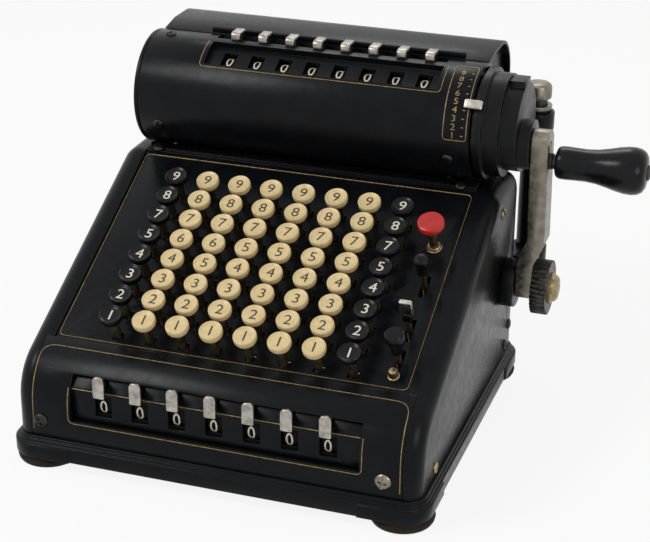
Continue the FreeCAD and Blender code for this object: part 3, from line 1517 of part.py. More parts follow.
def casing_screws():
    """Screw heads of the front panel and of the right cheek, all of one size."""
    body = new_body("casing_screws")
    for across in ("-front_width / 2 + front_screw_left", "front_width / 2 - front_screw_right"):
        sketch = new_sketch(body, "XZ_Plane", "casing_front")
        many_sided(sketch, across, "base_top + front_screw_rise", "screw_radius", "screw_sides")
        pad(body, sketch, "screw_rise")
    low = "base_top + cheek_screw_rise"
    spots = (
        ("cheek_screw_front - casing_front", low),
        ("casing_rear - cheek_screw_rear", low),
        ("casing_rear - cheek_screw_rear + cheek_screw_pitch", f"{low} + cheek_screw_step"),
        ("casing_rear - cheek_screw_deck", "deck_height - cheek_screw_drop"),
    )
    for along, up in spots:
        sketch = new_sketch(body, "YZ_Plane", "casing_width / 2")
        many_sided(sketch, along, up, "screw_radius", "screw_sides")
        pad(body, sketch, "screw_rise")


def build():
    """Make every sub-part."""
    base_casting()
    bottom_plate()
    rubber_feet()
    side_casing("side_casing_left", True)
    side_casing("side_casing_right", False)
    front_panel()
    register_tray()
    key_panel()
    ledge_strip()
    rear_panel()
    drum_shell()
    drum_end_cap()
    rear_cover()
    lever_rail()
    hub_casting()
    crank_bearing()
    casing_screws()
    column_tube()
    column_brackets()
    side_frames()
    register_rods()
    lever_bushes()
    crank_arm()
    crank_shaft()
    knurled_nut()
    hub_cap()
    handle_spindle()
    handle_grip()
    idler_gear()
    rotor_shaft()
    pinwheel_discs()
    for number in range(int(size("key_columns"))):
        key_column(number)
    for number in range(int(size("entry_count"))):
        entry_lever(number)
    for number in range(int(size("result_count"))):
        result_lever(number)
    red_button()
    shift_lever()
    tab_lever()
    clear_lever()
    setting_slider()
    column_cap()
    doc.recompute()


def check():
    """Stop where an object has failed or a shape is empty or broken."""
    for item in doc.Objects:
        if "Invalid" in item.State or "Error" in item.State:
            raise ValueError(f"{item.Name}: {item.State}")
    for body in subparts:
        if body.Shape.isNull() or not body.Shape.isValid():
            raise ValueError(f"{body.Label}: no valid shape")


def export():
    """Write one STEP file for each sub-part."""
    os.makedirs("parts", exist_ok=True)
    for body in subparts:
        body.Shape.exportStep(f"parts/{body.Label}.step")


build()
check()
export()
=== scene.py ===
"""Dressed model of an old hand-cranked desk calculator.

Black stove-enamelled casing with gold lines, turned keys on brass stems, number wheels behind
small windows, worn nickel tabs and crank, and a black turned grip. Sizes are in millimetres and
are turned into metres where a mesh is made.
"""
import json
import logging
import math
from collections.abc import Callable, Sequence
from dataclasses import dataclass
from enum import Enum
from functools import lru_cache

import bpy
from mathutils import Matrix, Vector

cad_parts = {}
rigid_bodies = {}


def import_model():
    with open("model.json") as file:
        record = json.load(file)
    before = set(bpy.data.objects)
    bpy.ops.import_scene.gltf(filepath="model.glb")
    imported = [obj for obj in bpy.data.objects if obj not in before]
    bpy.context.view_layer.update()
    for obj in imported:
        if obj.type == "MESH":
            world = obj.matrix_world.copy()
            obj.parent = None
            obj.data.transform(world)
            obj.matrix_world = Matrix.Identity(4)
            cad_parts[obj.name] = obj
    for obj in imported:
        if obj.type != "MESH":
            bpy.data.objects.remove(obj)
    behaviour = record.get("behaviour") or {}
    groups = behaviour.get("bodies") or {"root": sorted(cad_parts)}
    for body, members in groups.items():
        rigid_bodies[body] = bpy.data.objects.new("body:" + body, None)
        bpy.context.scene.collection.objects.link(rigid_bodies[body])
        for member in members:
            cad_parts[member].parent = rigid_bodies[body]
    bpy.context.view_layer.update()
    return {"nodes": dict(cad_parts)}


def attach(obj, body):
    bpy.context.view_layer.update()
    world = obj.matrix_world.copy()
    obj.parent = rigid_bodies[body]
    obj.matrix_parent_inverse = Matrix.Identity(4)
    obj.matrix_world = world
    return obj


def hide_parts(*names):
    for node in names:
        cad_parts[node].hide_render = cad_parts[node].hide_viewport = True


LOG = logging.getLogger("calculator")
MM = 0.001
# Slope of the key panel in degrees, and the foot of its face
SLOPE = 26.4
PANEL_Y, PANEL_Z = -74.5, 68.6
DRUM_Y, DRUM_Z, DRUM_RADIUS = 71.0, 164.0, 33.0
# Points closer than this, in metres, become one
MERGE = 2e-6
# Angles in degrees up to which faces of turned, rounded and drawn pieces are shaded as one
TURNED_ANGLE, ROUNDED_ANGLE, WIRE_ANGLE = 32, 38, 60
# Edges sharper than this, in degrees, are rounded or stay sharp to the eye
SHARP_ANGLE = 30
SIGN_DEPTH = 0.16

Point = tuple[float, float, float]
Outline = Sequence[tuple[float, float]]
Piece = bpy.types.Object
Tree = bpy.types.NodeTree
Socket = bpy.types.NodeSocket


class Axis(Enum):
    """Direction in which a piece is turned or extruded."""

    X = "X"
    Y = "Y"
    Z = "Z"


def clear_selection() -> None:
    """Leave edit mode and deselect every object."""
    if bpy.context.object and bpy.context.object.mode != "OBJECT":
        bpy.ops.object.mode_set(mode="OBJECT")
    bpy.ops.object.select_all(action="DESELECT")


def pick(piece: Piece) -> None:
    """Make one object the only one selected.

    Args:
        piece: The object, which also becomes the active one.
    """
    clear_selection()
    piece.select_set(True)
    bpy.context.view_layer.objects.active = piece


def settle(piece: Piece, place: Matrix | None = None) -> Piece:
    """Put a piece's place into its mesh, so that its object sits at the origin.

    Args:
        piece: The object to settle.
        place: A further move or turn in the frame of the whole model.

    Returns:
        The same object.
    """
    pick(piece)
    bpy.ops.object.transform_apply(location=True, rotation=True, scale=True)
    if place is not None:
        piece.data.transform(place)
    return piece


def moved(x: float, y: float, z: float) -> Matrix:
    """Return a move given in millimetres."""
    return Matrix.Translation((x * MM, y * MM, z * MM))


def on_panel(x: float, y: float, z: float = 0.0) -> Matrix:
    """Return the place of a point on the sloping key panel, Z standing out of the panel."""
    return moved(0, PANEL_Y, PANEL_Z) @ Matrix.Rotation(math.radians(SLOPE), 4, "X") @ moved(x, y, z)


def stroke(name: str, points: Sequence[Point], closed: bool = False) -> Piece:
    """Draw a chain of edges by extruding one vertex from point to point.

    Args:
        name: Name of the new object.
        points: The chain's points in millimetres.
        closed: Whether the chain ends where it starts.

    Returns:
        The object, in edit mode.
    """
    chain = [Vector(point) * MM for point in points]
    if closed:
        chain.append(chain[0])
    clear_selection()
    bpy.ops.mesh.primitive_plane_add(size=MM, location=chain[0])
    piece = bpy.context.object
    piece.name = name
    bpy.ops.object.mode_set(mode="EDIT")
    bpy.ops.mesh.select_all(action="SELECT")
    bpy.ops.mesh.merge(type="CENTER")
    for before, after in zip(chain, chain[1:]):
        bpy.ops.mesh.extrude_vertices_move(TRANSFORM_OT_translate={"value": after - before})
    bpy.ops.mesh.select_all(action="SELECT")
    if closed:
        bpy.ops.mesh.remove_doubles(threshold=MERGE)
    return piece


def turned(name: str, profile: Outline, sides: int, axis: Axis = Axis.Z,
           place: Matrix | None = None) -> Piece:
    """Spin a profile round an axis, as on a lathe.

    Args:
        name: Name of the new object.
        profile: Pairs of a distance along the axis and a radius.
        sides: Number of steps in the full turn.
        axis: The lathe's axis, X or Z.
        place: Where the piece goes once it is turned.

    Returns:
        The turned object.
    """
    piece = stroke(name, [(radius, 0.0, along) for along, radius in profile])
    bpy.ops.mesh.spin(steps=sides, angle=2 * math.pi, center=(0, 0, 0), axis=(0, 0, 1))
    bpy.ops.mesh.select_all(action="SELECT")
    bpy.ops.mesh.remove_doubles(threshold=MERGE)
    bpy.ops.mesh.normals_make_consistent(inside=False)
    settle(piece)
    if axis is Axis.X:
        piece.data.transform(Matrix.Rotation(math.radians(90), 4, "Y"))
    return smooth(settle(piece, place), TURNED_ANGLE)


def prism(name: str, outline: Outline, start: float, length: float,
          axis: Axis) -> Piece:
    """Extrude an outline along an axis.

    Args:
        name: Name of the new object.
        outline: Corners across the axis, in the order of the other two axes.
        start: Where the outline lies along the axis.
        length: How far it is extruded.
        axis: The direction of the extrusion.

    Returns:
        The solid object.
    """
    along = "XYZ".index(axis.value)
    piece = stroke(name, [(*spot[:along], start, *spot[along:]) for spot in outline])
    reach = [length * MM if k == along else 0 for k in range(3)]
    bpy.ops.mesh.edge_face_add()
    bpy.ops.mesh.extrude_region_move(TRANSFORM_OT_translate={"value": reach})
    bpy.ops.mesh.select_all(action="SELECT")
    bpy.ops.mesh.normals_make_consistent(inside=False)
    return settle(piece)


def block(name: str, low: Point, high: Point) -> Piece:
    """Add a cuboid between two corners.

    Args:
        name: Name of the new object.
        low: Lowest corner in millimetres.
        high: Highest corner in millimetres.

    Returns:
        The cuboid, to be rounded or cut.
    """
    clear_selection()
    middle = [(a + b) / 2 * MM for a, b in zip(low, high)]
    bpy.ops.mesh.primitive_cube_add(size=1, location=middle)
    piece = bpy.context.object
    piece.name = name
    piece.scale = [(b - a) * MM for a, b in zip(low, high)]
    return settle(piece)


def smooth(piece: Piece, angle: float) -> Piece:
    """Shade a piece smooth.

    Args:
        piece: The object to shade.
        angle: Edges flatter than this, in degrees, don't show.

    Returns:
        The same object.
    """
    pick(piece)
    bpy.ops.object.shade_smooth_by_angle(angle=math.radians(angle))
    return piece


def rounded(piece: Piece, width: float, segments: int = 2) -> Piece:
    """Round the sharp edges of a piece.

    Args:
        piece: The object to round.
        width: Width of the rounding in millimetres.
        segments: Steps across the rounding.

    Returns:
        The same object.
    """
    pick(piece)
    bevel = piece.modifiers.new("edges", "BEVEL")
    bevel.width = width * MM
    bevel.segments = segments
    bevel.limit_method = "ANGLE"
    bevel.angle_limit = math.radians(SHARP_ANGLE)
    bpy.ops.object.modifier_apply(modifier=bevel.name)
    return smooth(piece, ROUNDED_ANGLE)


def joined(name: str, pieces: Sequence[Piece]) -> Piece:
    """Join objects into one piece.

    Args:
        name: Name of the joined piece.
        pieces: The objects, of which the first stays.

    Returns:
        The joined object.
    """
    clear_selection()
    for piece in pieces:
        piece.select_set(True)
    bpy.context.view_layer.objects.active = pieces[0]
    if len(pieces) > 1:
        bpy.ops.object.join()
    pieces[0].name = name
    return pieces[0]


def copied(piece: Piece, name: str, place: Matrix) -> Piece:
    """Copy a piece with its own mesh to another place.

    Args:
        piece: The object to copy.
        name: Name of the copy.
        place: The move or turn from the original.

    Returns:
        The copy.
    """
    pick(piece)
    bpy.ops.object.duplicate(linked=False)
    twin = bpy.context.object
    twin.name = name
    twin.data.transform(place)
    return twin


def wire(name: str, points: Sequence[Point], radius: float,
         closed: bool = False) -> Piece:
    """Lay a thin round line along points.

    Args:
        name: Name of the line.
        points: The way of the line in millimetres.
        radius: Half the line's width.
        closed: Whether it runs back to its start.

    Returns:
        The line as a mesh.
    """
    piece = stroke(name, points, closed)
    settle(piece)
    bpy.ops.object.convert(target="CURVE")
    piece.data.bevel_depth = radius * MM
    piece.data.bevel_resolution = 1
    piece.data.use_fill_caps = not closed
    bpy.ops.object.convert(target="MESH")
    return smooth(piece, WIRE_ANGLE)


def digit(name: str, text: str, height: float, widen: float) -> Piece:
    """Write a sign that lies on the XY plane, its middle at the origin.

    Args:
        name: Name of the object.
        text: The sign.
        height: Its height in millimetres.
        widen: Factor on its width.

    Returns:
        The sign as a mesh.
    """
    clear_selection()
    bpy.ops.object.text_add(location=(0, 0, 0))
    piece = bpy.context.object
    piece.data.body = text
    piece.data.resolution_u = 4
    piece.data.extrude = 0.05
    bpy.ops.object.convert(target="MESH")
    piece.name = name
    spots = [vertex.co for vertex in piece.data.vertices]
    low = Vector([min(spot[k] for spot in spots) for k in range(3)])
    high = Vector([max(spot[k] for spot in spots) for k in range(3)])
    factor = height * MM / (high.y - low.y)
    piece.data.transform(Matrix.Translation(-(low + high) / 2))
    thin = SIGN_DEPTH * MM / (high.z - low.z)
    piece.data.transform(Matrix.Diagonal((factor * widen, factor, thin, 1)))
    return piece


def wrapped(piece: Piece, centre: Point, radius: float,
            angle: float) -> Piece:
    """Bend a flat sign round a drum that lies along X.

    Args:
        piece: The sign, flat on the XY plane.
        centre: Middle of the drum beside the sign.
        radius: Radius on which the sign lies.
        angle: Degrees from the front towards the top.

    Returns:
        The same object.
    """
    for vertex in piece.data.vertices:
        turn = math.radians(angle) + vertex.co.y / (radius * MM)
        reach = radius * MM + vertex.co.z
        vertex.co = (vertex.co.x + centre[0] * MM, centre[1] * MM - reach * math.cos(turn),
                     centre[2] * MM + reach * math.sin(turn))
    return piece


def corner_path(points: Outline, radius: float) -> list[tuple[float, float]]:
    """Round the corners of a flat path.

    Args:
        points: Corners of the path, the ends included.
        radius: Radius of each corner.

    Returns:
        The points of the rounded path.
    """
    steps = 5
    rounded_points = [tuple(points[0])]
    for before, corner, after in zip(points, points[1:], points[2:]):
        here = Vector(corner)
        back, ahead = (Vector(before) - here).normalized(), (Vector(after) - here).normalized()
        for step in range(steps + 1):
            part = step / steps
            spot = here + back * radius * (1 - part) ** 2 + ahead * radius * part ** 2
            rounded_points.append(tuple(spot))
    rounded_points.append(tuple(points[-1]))
    return rounded_points


def to_linear(colour: str) -> tuple[float, float, float, float]:
    """Turn a hex colour into the linear values that shaders take.

    Args:
        colour: Six hex digits after a hash sign.

    Returns:
        Red, green, blue and a full alpha.
    """
    parts = [int(colour[k:k + 2], 16) / 255 for k in (1, 3, 5)]
    red, green, blue = (p / 12.92 if p <= 0.04045 else ((p + 0.055) / 1.055) ** 2.4 for p in parts)
    return red, green, blue, 1.0


def feed(tree: Tree, node: bpy.types.Node, sockets: dict[str | int, object]) -> None:
    """Set a node's inputs.

    Args:
        tree: The node's tree.
        node: The node.
        sockets: Input name or number to a value, or to the output that feeds it.
    """
    for name, value in sockets.items():
        if isinstance(value, Socket):
            tree.links.new(value, node.inputs[name])
        else:
            node.inputs[name].default_value = value


def add_node(tree: Tree, kind: str, sockets: dict[str | int, object] | None = None,
             **settings: object) -> bpy.types.Node:
    """Add one node, set it up and join it to others.

    Args:
        tree: The tree that gets the node.
        kind: The node's type.
        sockets: Its inputs, as feed takes them.
        settings: The node's own properties.

    Returns:
        The new node.
    """
    node = tree.nodes.new(kind)
    for name, value in settings.items():
        setattr(node, name, value)
    feed(tree, node, sockets or {})
    return node


def blank(title: str) -> tuple[bpy.types.Material, Tree, bpy.types.Node,
                               Socket]:
    """Start a material.

    Args:
        title: The material's name.

    Returns:
        The material, its tree, its shader and the coordinates of its patterns.
    """
    material = bpy.data.materials.new(title)
    material.use_nodes = True
    tree = material.node_tree
    place = add_node(tree, "ShaderNodeTexCoord").outputs["Object"]
    return material, tree, tree.nodes["Principled BSDF"], place


def cloud(tree: Tree, place: Socket, size: float, low: float,
          high: float, detail: float = 4.0) -> Socket:
    """Add a soft noise.

    Args:
        tree: The tree that gets it.
        place: Its coordinates.
        size: Size of a patch in millimetres.
        low: Value of the darkest patches.
        high: Value of the lightest patches.
        detail: How much finer noise is added.

    Returns:
        The noise's output.
    """
    noise = add_node(tree, "ShaderNodeTexNoise",
                     {"Vector": place, "Scale": 1 / (size * MM), "Detail": detail})
    return add_node(tree, "ShaderNodeMapRange",
                    {0: noise.outputs["Fac"], 1: 0.3, 2: 0.7, 3: low, 4: high}).outputs[0]


def blended(tree: Tree, share: Socket, first: object,
            second: object) -> Socket:
    """Mix two colours, each a value or another node's output, by a share."""
    mix = add_node(tree, "ShaderNodeMix", {0: share, 6: first, 7: second}, data_type="RGBA")
    return mix.outputs[2]


def edge_mask(tree: Tree, place: Socket, width: float,
              amount: float) -> Socket:
    """Find the edges that hands have rubbed, broken up by noise.

    Args:
        tree: The tree that gets the nodes.
        place: Coordinates of the noise.
        width: Reach of the rubbing in millimetres.
        amount: Strength of the mask where it is full.

    Returns:
        A value from 0 to the amount.
    """
    round_normal = add_node(tree, "ShaderNodeBevel", {"Radius": width * MM}, samples=6).outputs[0]
    true_normal = add_node(tree, "ShaderNodeNewGeometry").outputs["Normal"]
    likeness = add_node(tree, "ShaderNodeVectorMath", {0: round_normal, 1: true_normal},
                        operation="DOT_PRODUCT").outputs["Value"]
    edge = add_node(tree, "ShaderNodeMapRange",
                    {0: likeness, 1: 0.97, 2: 0.8, 3: 0.0, 4: 1.0}).outputs[0]
    grit = cloud(tree, place, 2.2, 0.0, amount, 6.0)
    return add_node(tree, "ShaderNodeMath", {0: edge, 1: grit}, operation="MULTIPLY").outputs[0]


def bumped(tree: Tree, place: Socket, size: float,
           depth: float) -> Socket:
    """Add a fine unevenness to the surface.

    Args:
        tree: The tree that gets the nodes.
        place: Coordinates of the noise.
        size: Size of the unevenness in millimetres.
        depth: Its depth in millimetres.

    Returns:
        The changed normal.
    """
    noise = add_node(tree, "ShaderNodeTexNoise",
                     {"Vector": place, "Scale": 1 / (size * MM), "Detail": 3.0}).outputs["Fac"]
    return add_node(tree, "ShaderNodeBump", {"Height": noise, "Distance": depth * MM,
                                             "Strength": 1.0}).outputs["Normal"]


@dataclass(frozen=True)
class Enamel:
    """Stove enamel that is rubbed through to brown along its edges."""

    title: str
    colour: str
    second: str
    rubbed: str
    wear: float
    roughness: float
    peel: float
    specular: float

    @lru_cache
    def material(self) -> bpy.types.Material:
        """Make the material once and return it."""
        material, tree, shader, place = blank(self.title)
        body = blended(tree, cloud(tree, place, 14, 0.0, 1.0), to_linear(self.colour),
                       to_linear(self.second))
        mask = edge_mask(tree, place, 0.9, self.wear)
        feed(tree, shader, {
            "Base Color": blended(tree, mask, body, to_linear(self.rubbed)),
            "Roughness": cloud(tree, place, 5, self.roughness - 0.04, self.roughness + 0.05),
            "Normal": bumped(tree, place, 0.8, self.peel),
            "Specular IOR Level": self.specular})
        return material


@dataclass(frozen=True)
class Metal:
    """Plated or bare metal with cloudy tarnish and brighter rubbed edges."""

    title: str
    bright: str
    dull: str
    roughness: float
    spots: float = 4.0

    @lru_cache
    def material(self) -> bpy.types.Material:
        """Make the material once and return it."""
        material, tree, shader, place = blank(self.title)
        body = blended(tree, cloud(tree, place, self.spots, 0.0, 1.0, 6.0), to_linear(self.dull),
                       to_linear(self.bright))
        mask = edge_mask(tree, place, 0.5, 0.8)
        feed(tree, shader, {
            "Base Color": blended(tree, mask, body, to_linear(self.bright)),
            "Roughness": cloud(tree, place, 2.5, self.roughness - 0.08, self.roughness + 0.14),
            "Normal": bumped(tree, place, 0.5, 0.012),
            "Metallic": 1.0})
        return material


@dataclass(frozen=True)
class Resin:
    """Moulded resin of keys, knobs and the grip, slightly clouded by age."""

    title: str
    colour: str
    aged: str
    roughness: float
    specular: float = 0.4

    @lru_cache
    def material(self) -> bpy.types.Material:
        """Make the material once and return it."""
        material, tree, shader, place = blank(self.title)
        share = cloud(tree, place, 3.5, 0.0, 0.8, 5.0)
        feed(tree, shader, {
            "Base Color": blended(tree, share, to_linear(self.colour), to_linear(self.aged)),
            "Roughness": cloud(tree, place, 2, self.roughness - 0.05, self.roughness + 0.08),
            "Specular IOR Level": self.specular})
        return material


@dataclass(frozen=True)
class Line:
    """Thin paint of lines and numbers, broken where it has worn."""

    title: str
    colour: str
    faded: str
    metallic: float = 0.0

    @lru_cache
    def material(self) -> bpy.types.Material:
        """Make the material once and return it."""
        material, tree, shader, place = blank(self.title)
        share = cloud(tree, place, 1.6, 0.0, 1.0, 5.0)
        feed(tree, shader, {
            "Base Color": blended(tree, share, to_linear(self.colour), to_linear(self.faded)),
            "Roughness": 0.42,
            "Metallic": self.metallic})
        return material


# Deep black with a cold sheen and brown rubbed edges, which makes the machine look old and heavy
ENAMEL = Enamel("black_stove_enamel", "#0a0b0d", "#101216", "#51463a", 0.5, 0.28, 0.02, 0.11)
# The same black on the hub and small castings, rubbed brighter by hands
CASTING = Enamel("black_enamelled_casting", "#0a0b0c", "#131416", "#665d53", 0.8, 0.32, 0.03, 0.15)
# Dull black of the wheels, which lets the numbers stand out
WHEEL_BLACK = Enamel("matt_black_wheel", "#0c0c0e", "#131316", "#1c1c1e", 0.2, 0.5, 0.01, 0.06)
# Soft brown-black of perished feet, which grounds the machine
RUBBER = Enamel("perished_rubber", "#1c1815", "#2b241e", "#4a3d32", 0.5, 0.62, 0.05, 0.1)
# Warm grey plating with tarnish, the brightest metal in view
NICKEL = Metal("worn_nickel", "#bdb8ae", "#85807a", 0.3)
# The crank arm's plating, duller and more scratched
ARM_NICKEL = Metal("scratched_nickel", "#918b7f", "#6f695e", 0.32, 5.0)
# Yellow-brown of stems, bushes and screws
BRASS = Metal("aged_brass", "#ac9d79", "#6c5e44", 0.34, 2.0)
# Dark oiled steel of nuts, screws and inner works
STEEL = Metal("oiled_steel", "#4b4844", "#262422", 0.38, 3.0)
# Old ivory-coloured key tops, the warm field of the picture
CREAM = Resin("ivory_key", "#e3cd9c", "#cfb57e", 0.32)
# Black key tops, levers and grip, glossy so that they catch the light
BLACK = Resin("black_key", "#0c0d0f", "#121316", 0.2, 0.17)
# The one red spot, which marks the clearing button
RED = Resin("red_button", "#c22a24", "#a5201c", 0.28)
# Thin gold lines and figures on the casing
GOLD = Line("gold_line", "#a48d59", "#6c5a38", 0.3)
# Off-white figures of the black keys and of the wheels
WHITE = Line("white_figure", "#e9e2cf", "#cfc7b2")
# Dark figures of the ivory keys
DARK = Line("dark_figure", "#2a241c", "#3a3125")


def paint(piece: Piece, finish: Enamel | Metal | Resin | Line) -> Piece:
    """Give a whole piece one finish.

    Args:
        piece: The object to cover.
        finish: Its finish.

    Returns:
        The same object.
    """
    piece.data.materials.clear()
    piece.data.materials.append(finish.material())
    return piece


def paint_where(piece: Piece, finish: Enamel | Metal | Resin | Line,
                chosen: Callable[[Vector], bool]) -> Piece:
    """Give part of a piece another finish.

    Args:
        piece: A painted piece.
        finish: The other finish.
        chosen: Says by a face's middle, in millimetres, whether the face gets it.

    Returns:
        The same object.
    """
    piece.data.materials.append(finish.material())
    for face in piece.data.polygons:
        if chosen(face.center / MM):
            face.material_index = len(piece.data.materials) - 1
    return piece


class Frame:
    """The part's solids, whose copies are dressed and whose bodies carry the pieces."""

    def __init__(self, nodes: dict[str, Piece]) -> None:
        """Keep the solids by their names."""
        self.nodes = nodes

    def softened(self, node: str, body: str, finish: Enamel | Metal | Resin, slot: str,
                 width: float, segments: int = 2) -> Piece:
        """Copy a solid, merge its faces, round its edges and give it a finish.

        Args:
            node: The solid's name.
            body: The body that carries the piece.
            finish: What it is covered with.
            slot: The slot of its finish.
            width: Width of the rounding in millimetres.
            segments: Steps across the rounding.

        Returns:
            The finished piece.
        """
        pick(self.nodes[node])
        self.nodes[node].hide_set(False)
        bpy.ops.object.duplicate(linked=False)
        piece = bpy.context.object
        piece.name = f"{node}_finished"
        bpy.ops.object.parent_clear(type="CLEAR_KEEP_TRANSFORM")
        bpy.ops.object.mode_set(mode="EDIT")
        bpy.ops.mesh.select_all(action="SELECT")
        bpy.ops.mesh.remove_doubles(threshold=4e-6)
        bpy.ops.mesh.dissolve_limited(angle_limit=math.radians(0.4))
        settle(piece)
        paint(rounded(piece, width, segments), finish)
        return self.finished(piece, body, slot, node)

    def finished(self, piece: Piece, body: str, slot: str,
                 *nodes: str) -> Piece:
        """Hang a piece on its body and let it stand for its solids.

        Args:
            piece: The finished piece.
            body: The body that carries it.
            slot: The slot of its finish; not used.
            nodes: The solids that it stands for.

        Returns:
            The same object.
        """
        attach(piece, body)
        if nodes:
            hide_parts(*nodes)
        return piece

    def stand_in(self, node: str, pieces: Sequence[Piece], body: str, slot: str) -> None:
        """Join pieces and let them stand for one solid, whose name they take."""
        self.finished(joined(f"{node}_finished", pieces), body, slot, node)

    def coloured(self, node: str, finish: Metal) -> None:
        """Show a solid as it is, with a finish."""
        paint(self.nodes[node], finish)


@dataclass
class Casing:
    """Base, feet, cheeks, panels and rear housing with their gold lines and screws."""

    frame: Frame
    foot_spots: Outline = ((-101, -88.5), (101, -88.5), (-101, 88.5), (101, 88.5))
    front: float = 101.5
    front_foot: float = 18.4
    front_bend: float = 37.6
    curve: float = 30.0
    crest_y: float = -84.84
    crest_z: float = 64.47
    cheek: float = 113.5
    front_screw_z: float = 27.7
    ledge_up: float = 140.8
    line: float = 0.27
    scale_angles: tuple[float, ...] = (3.5, 11.8, 20.0, 28.3, 36.5, 44.8, 53.1, 61.4, 69.7)

    def build(self) -> None:
        """Build and dress every piece of the casing."""
        for node, width in (("base_casting", 0.8), ("side_casing_left", 0.7),
                            ("side_casing_right", 0.7), ("front_panel", 0.5),
                            ("register_tray", 0.35), ("key_panel", 0.3), ("ledge_strip", 0.3),
                            ("rear_panel", 0.5), ("drum_shell", 0.4), ("drum_end_cap", 0.9),
                            ("rear_cover", 0.7), ("lever_rail", 0.3)):
            self.frame.softened(node, "chassis", ENAMEL, "casing", width)
        # A dark strip and plate behind the front windows are painted shade: they stand in for the
        # dark inside, so that no floor shows through them
        strip = rounded(block("strip", (-80, -96.0, 31.2), (80, -95.3, 35.9)), 0.2, 1)
        plate = rounded(block("plate", (-81, -72.4, 19.0), (81, -71.8, 52.0)), 0.2, 1)
        painted_shade = paint(joined("window_painted_shade", [strip, plate]), WHEEL_BLACK)
        self.frame.finished(painted_shade, "chassis", "casing")
        self.feet()
        self.gold_lines()
        self.screws()

    def feet(self) -> None:
        """Turn one foot and set four copies."""
        profile = ((0.0, 0.0), (0.0, 15.2), (0.5, 16.2), (1.6, 16.9), (3.4, 17.3), (4.6, 16.4),
                   (5.4, 16.6), (6.5, 16.6), (6.5, 0.0))
        foot = paint(turned("foot", profile, 48), RUBBER)
        feet = [copied(foot, "foot_copy", moved(x, y, 0)) for x, y in self.foot_spots]
        bpy.data.objects.remove(foot)
        self.frame.stand_in("rubber_feet", feet, "chassis", "rubber")

    def on_front(self, across: float, along: float) -> Point:
        """Find a point of the curved front.

        Args:
            across: Its place across the front.
            along: Its place up the unrolled front.

        Returns:
            The point, a little outside the face.
        """
        slope = math.radians(SLOPE)
        straight = self.front_bend - self.front_foot
        turn = math.radians(90 - SLOPE)
        out = self.line * 0.25
        if along <= straight:
            return across, -self.front - out, self.front_foot + along
        if along <= straight + self.curve * turn:
            angle = math.pi - (along - straight) / self.curve
            reach = self.curve + out
            return (across, -self.front + self.curve + reach * math.cos(angle),
                    self.front_bend + reach * math.sin(angle))
        rest = along - straight - self.curve * turn
        return (across, self.crest_y + rest * math.cos(slope) - out * math.sin(slope),
                self.crest_z + rest * math.sin(slope) + out * math.cos(slope))

    def finely(self, path: Outline) -> list[tuple[float, float]]:
        """Divide a path so that it can follow a curved face.

        Args:
            path: The path on the unrolled face.

        Returns:
            The path with more points, no more than about 2 mm apart along the face.
        """
        fine = [path[0]]
        for before, after in zip(path, path[1:]):
            steps = max(1, int(abs(after[1] - before[1]) / 2.0))
            fine += [tuple(a + (b - a) * k / steps for a, b in zip(before, after))
                     for k in range(1, steps + 1)]
        return fine

    def front_line(self, name: str, corners: Outline, radius: float) -> Piece:
        """Lay a gold line on the curved front.

        Args:
            name: Name of the line.
            corners: Its corners, each a place across and up the unrolled front.
            radius: Radius of the rounded corners.

        Returns:
            The line.
        """
        path = self.finely(corner_path(corners, radius))
        return wire(name, [self.on_front(*spot) for spot in path], self.line)

    def drum_line(self, name: str, corners: Outline, radius: float,
                  closed: bool) -> Piece:
        """Lay a gold line on the round housing.

        Args:
            name: Name of the line.
            corners: Its corners, each a place across and an angle in degrees.
            radius: Radius of the rounded corners.
            closed: Whether the line runs back to its start.

        Returns:
            The line.
        """
        reach = DRUM_RADIUS + 0.05
        path = corner_path([(across, math.radians(angle) * reach) for across, angle in corners],
                           radius)
        spots = [(across, DRUM_Y - reach * math.cos(along / reach),
                  DRUM_Z + reach * math.sin(along / reach)) for across, along in self.finely(path)]
        return wire(name, spots[:-1] if closed else spots, self.line, closed)

    def gold_lines(self) -> None:
        """Lay the gold lines of the front, the key panel, the registers and the scale."""
        lift = 0.06
        panel = corner_path([(0, -1.8), (98.2, -1.8), (98.2, 135.6), (-98.2, 135.6),
                             (-98.2, -1.8), (0, -1.8)], 3.5)
        spots = [(on_panel(x, y, lift) @ Vector((0, 0, 0))) / MM for x, y in panel[:-1]]
        lines = [
            self.front_line("front_line", [(-102.8, 4), (-102.8, 54), (102.8, 54), (102.8, 4)], 8),
            wire("panel_line", spots, self.line, True),
            self.front_line("register_line", [(-82.3, 31.2), (-82.3, 10.9), (82.3, 10.9),
                                              (82.3, 31.2)], 3.5),
            wire("tray_line", [(-80.6, -98.06, 48.7), (80.6, -98.06, 48.7)], self.line),
            self.drum_line("window_line", [(-64.5, 79), (-64.5, 43), (77.5, 43), (77.5, 79)],
                           3.0, False),
            self.drum_line("scale_line", [(82, 40), (82, -1.3), (95, -1.3), (95, 80.5),
                                          (82, 80.5), (82, 40)], 2.0, True),
        ]
        for number, angle in enumerate(self.scale_angles, start=1):
            for name, sign, height, widen, across in (("scale_figure", str(number), 3.5, 1.15, 87.3),
                                                      ("scale_tick", "-", 0.45, 1.3, 92.6)):
                lines.append(wrapped(digit(name, sign, height, widen), (across, DRUM_Y, DRUM_Z),
                                     DRUM_RADIUS + lift, angle))
        for piece in lines:
            paint(piece, GOLD)
        self.frame.finished(joined("gold_lines", lines), "chassis", "brass")

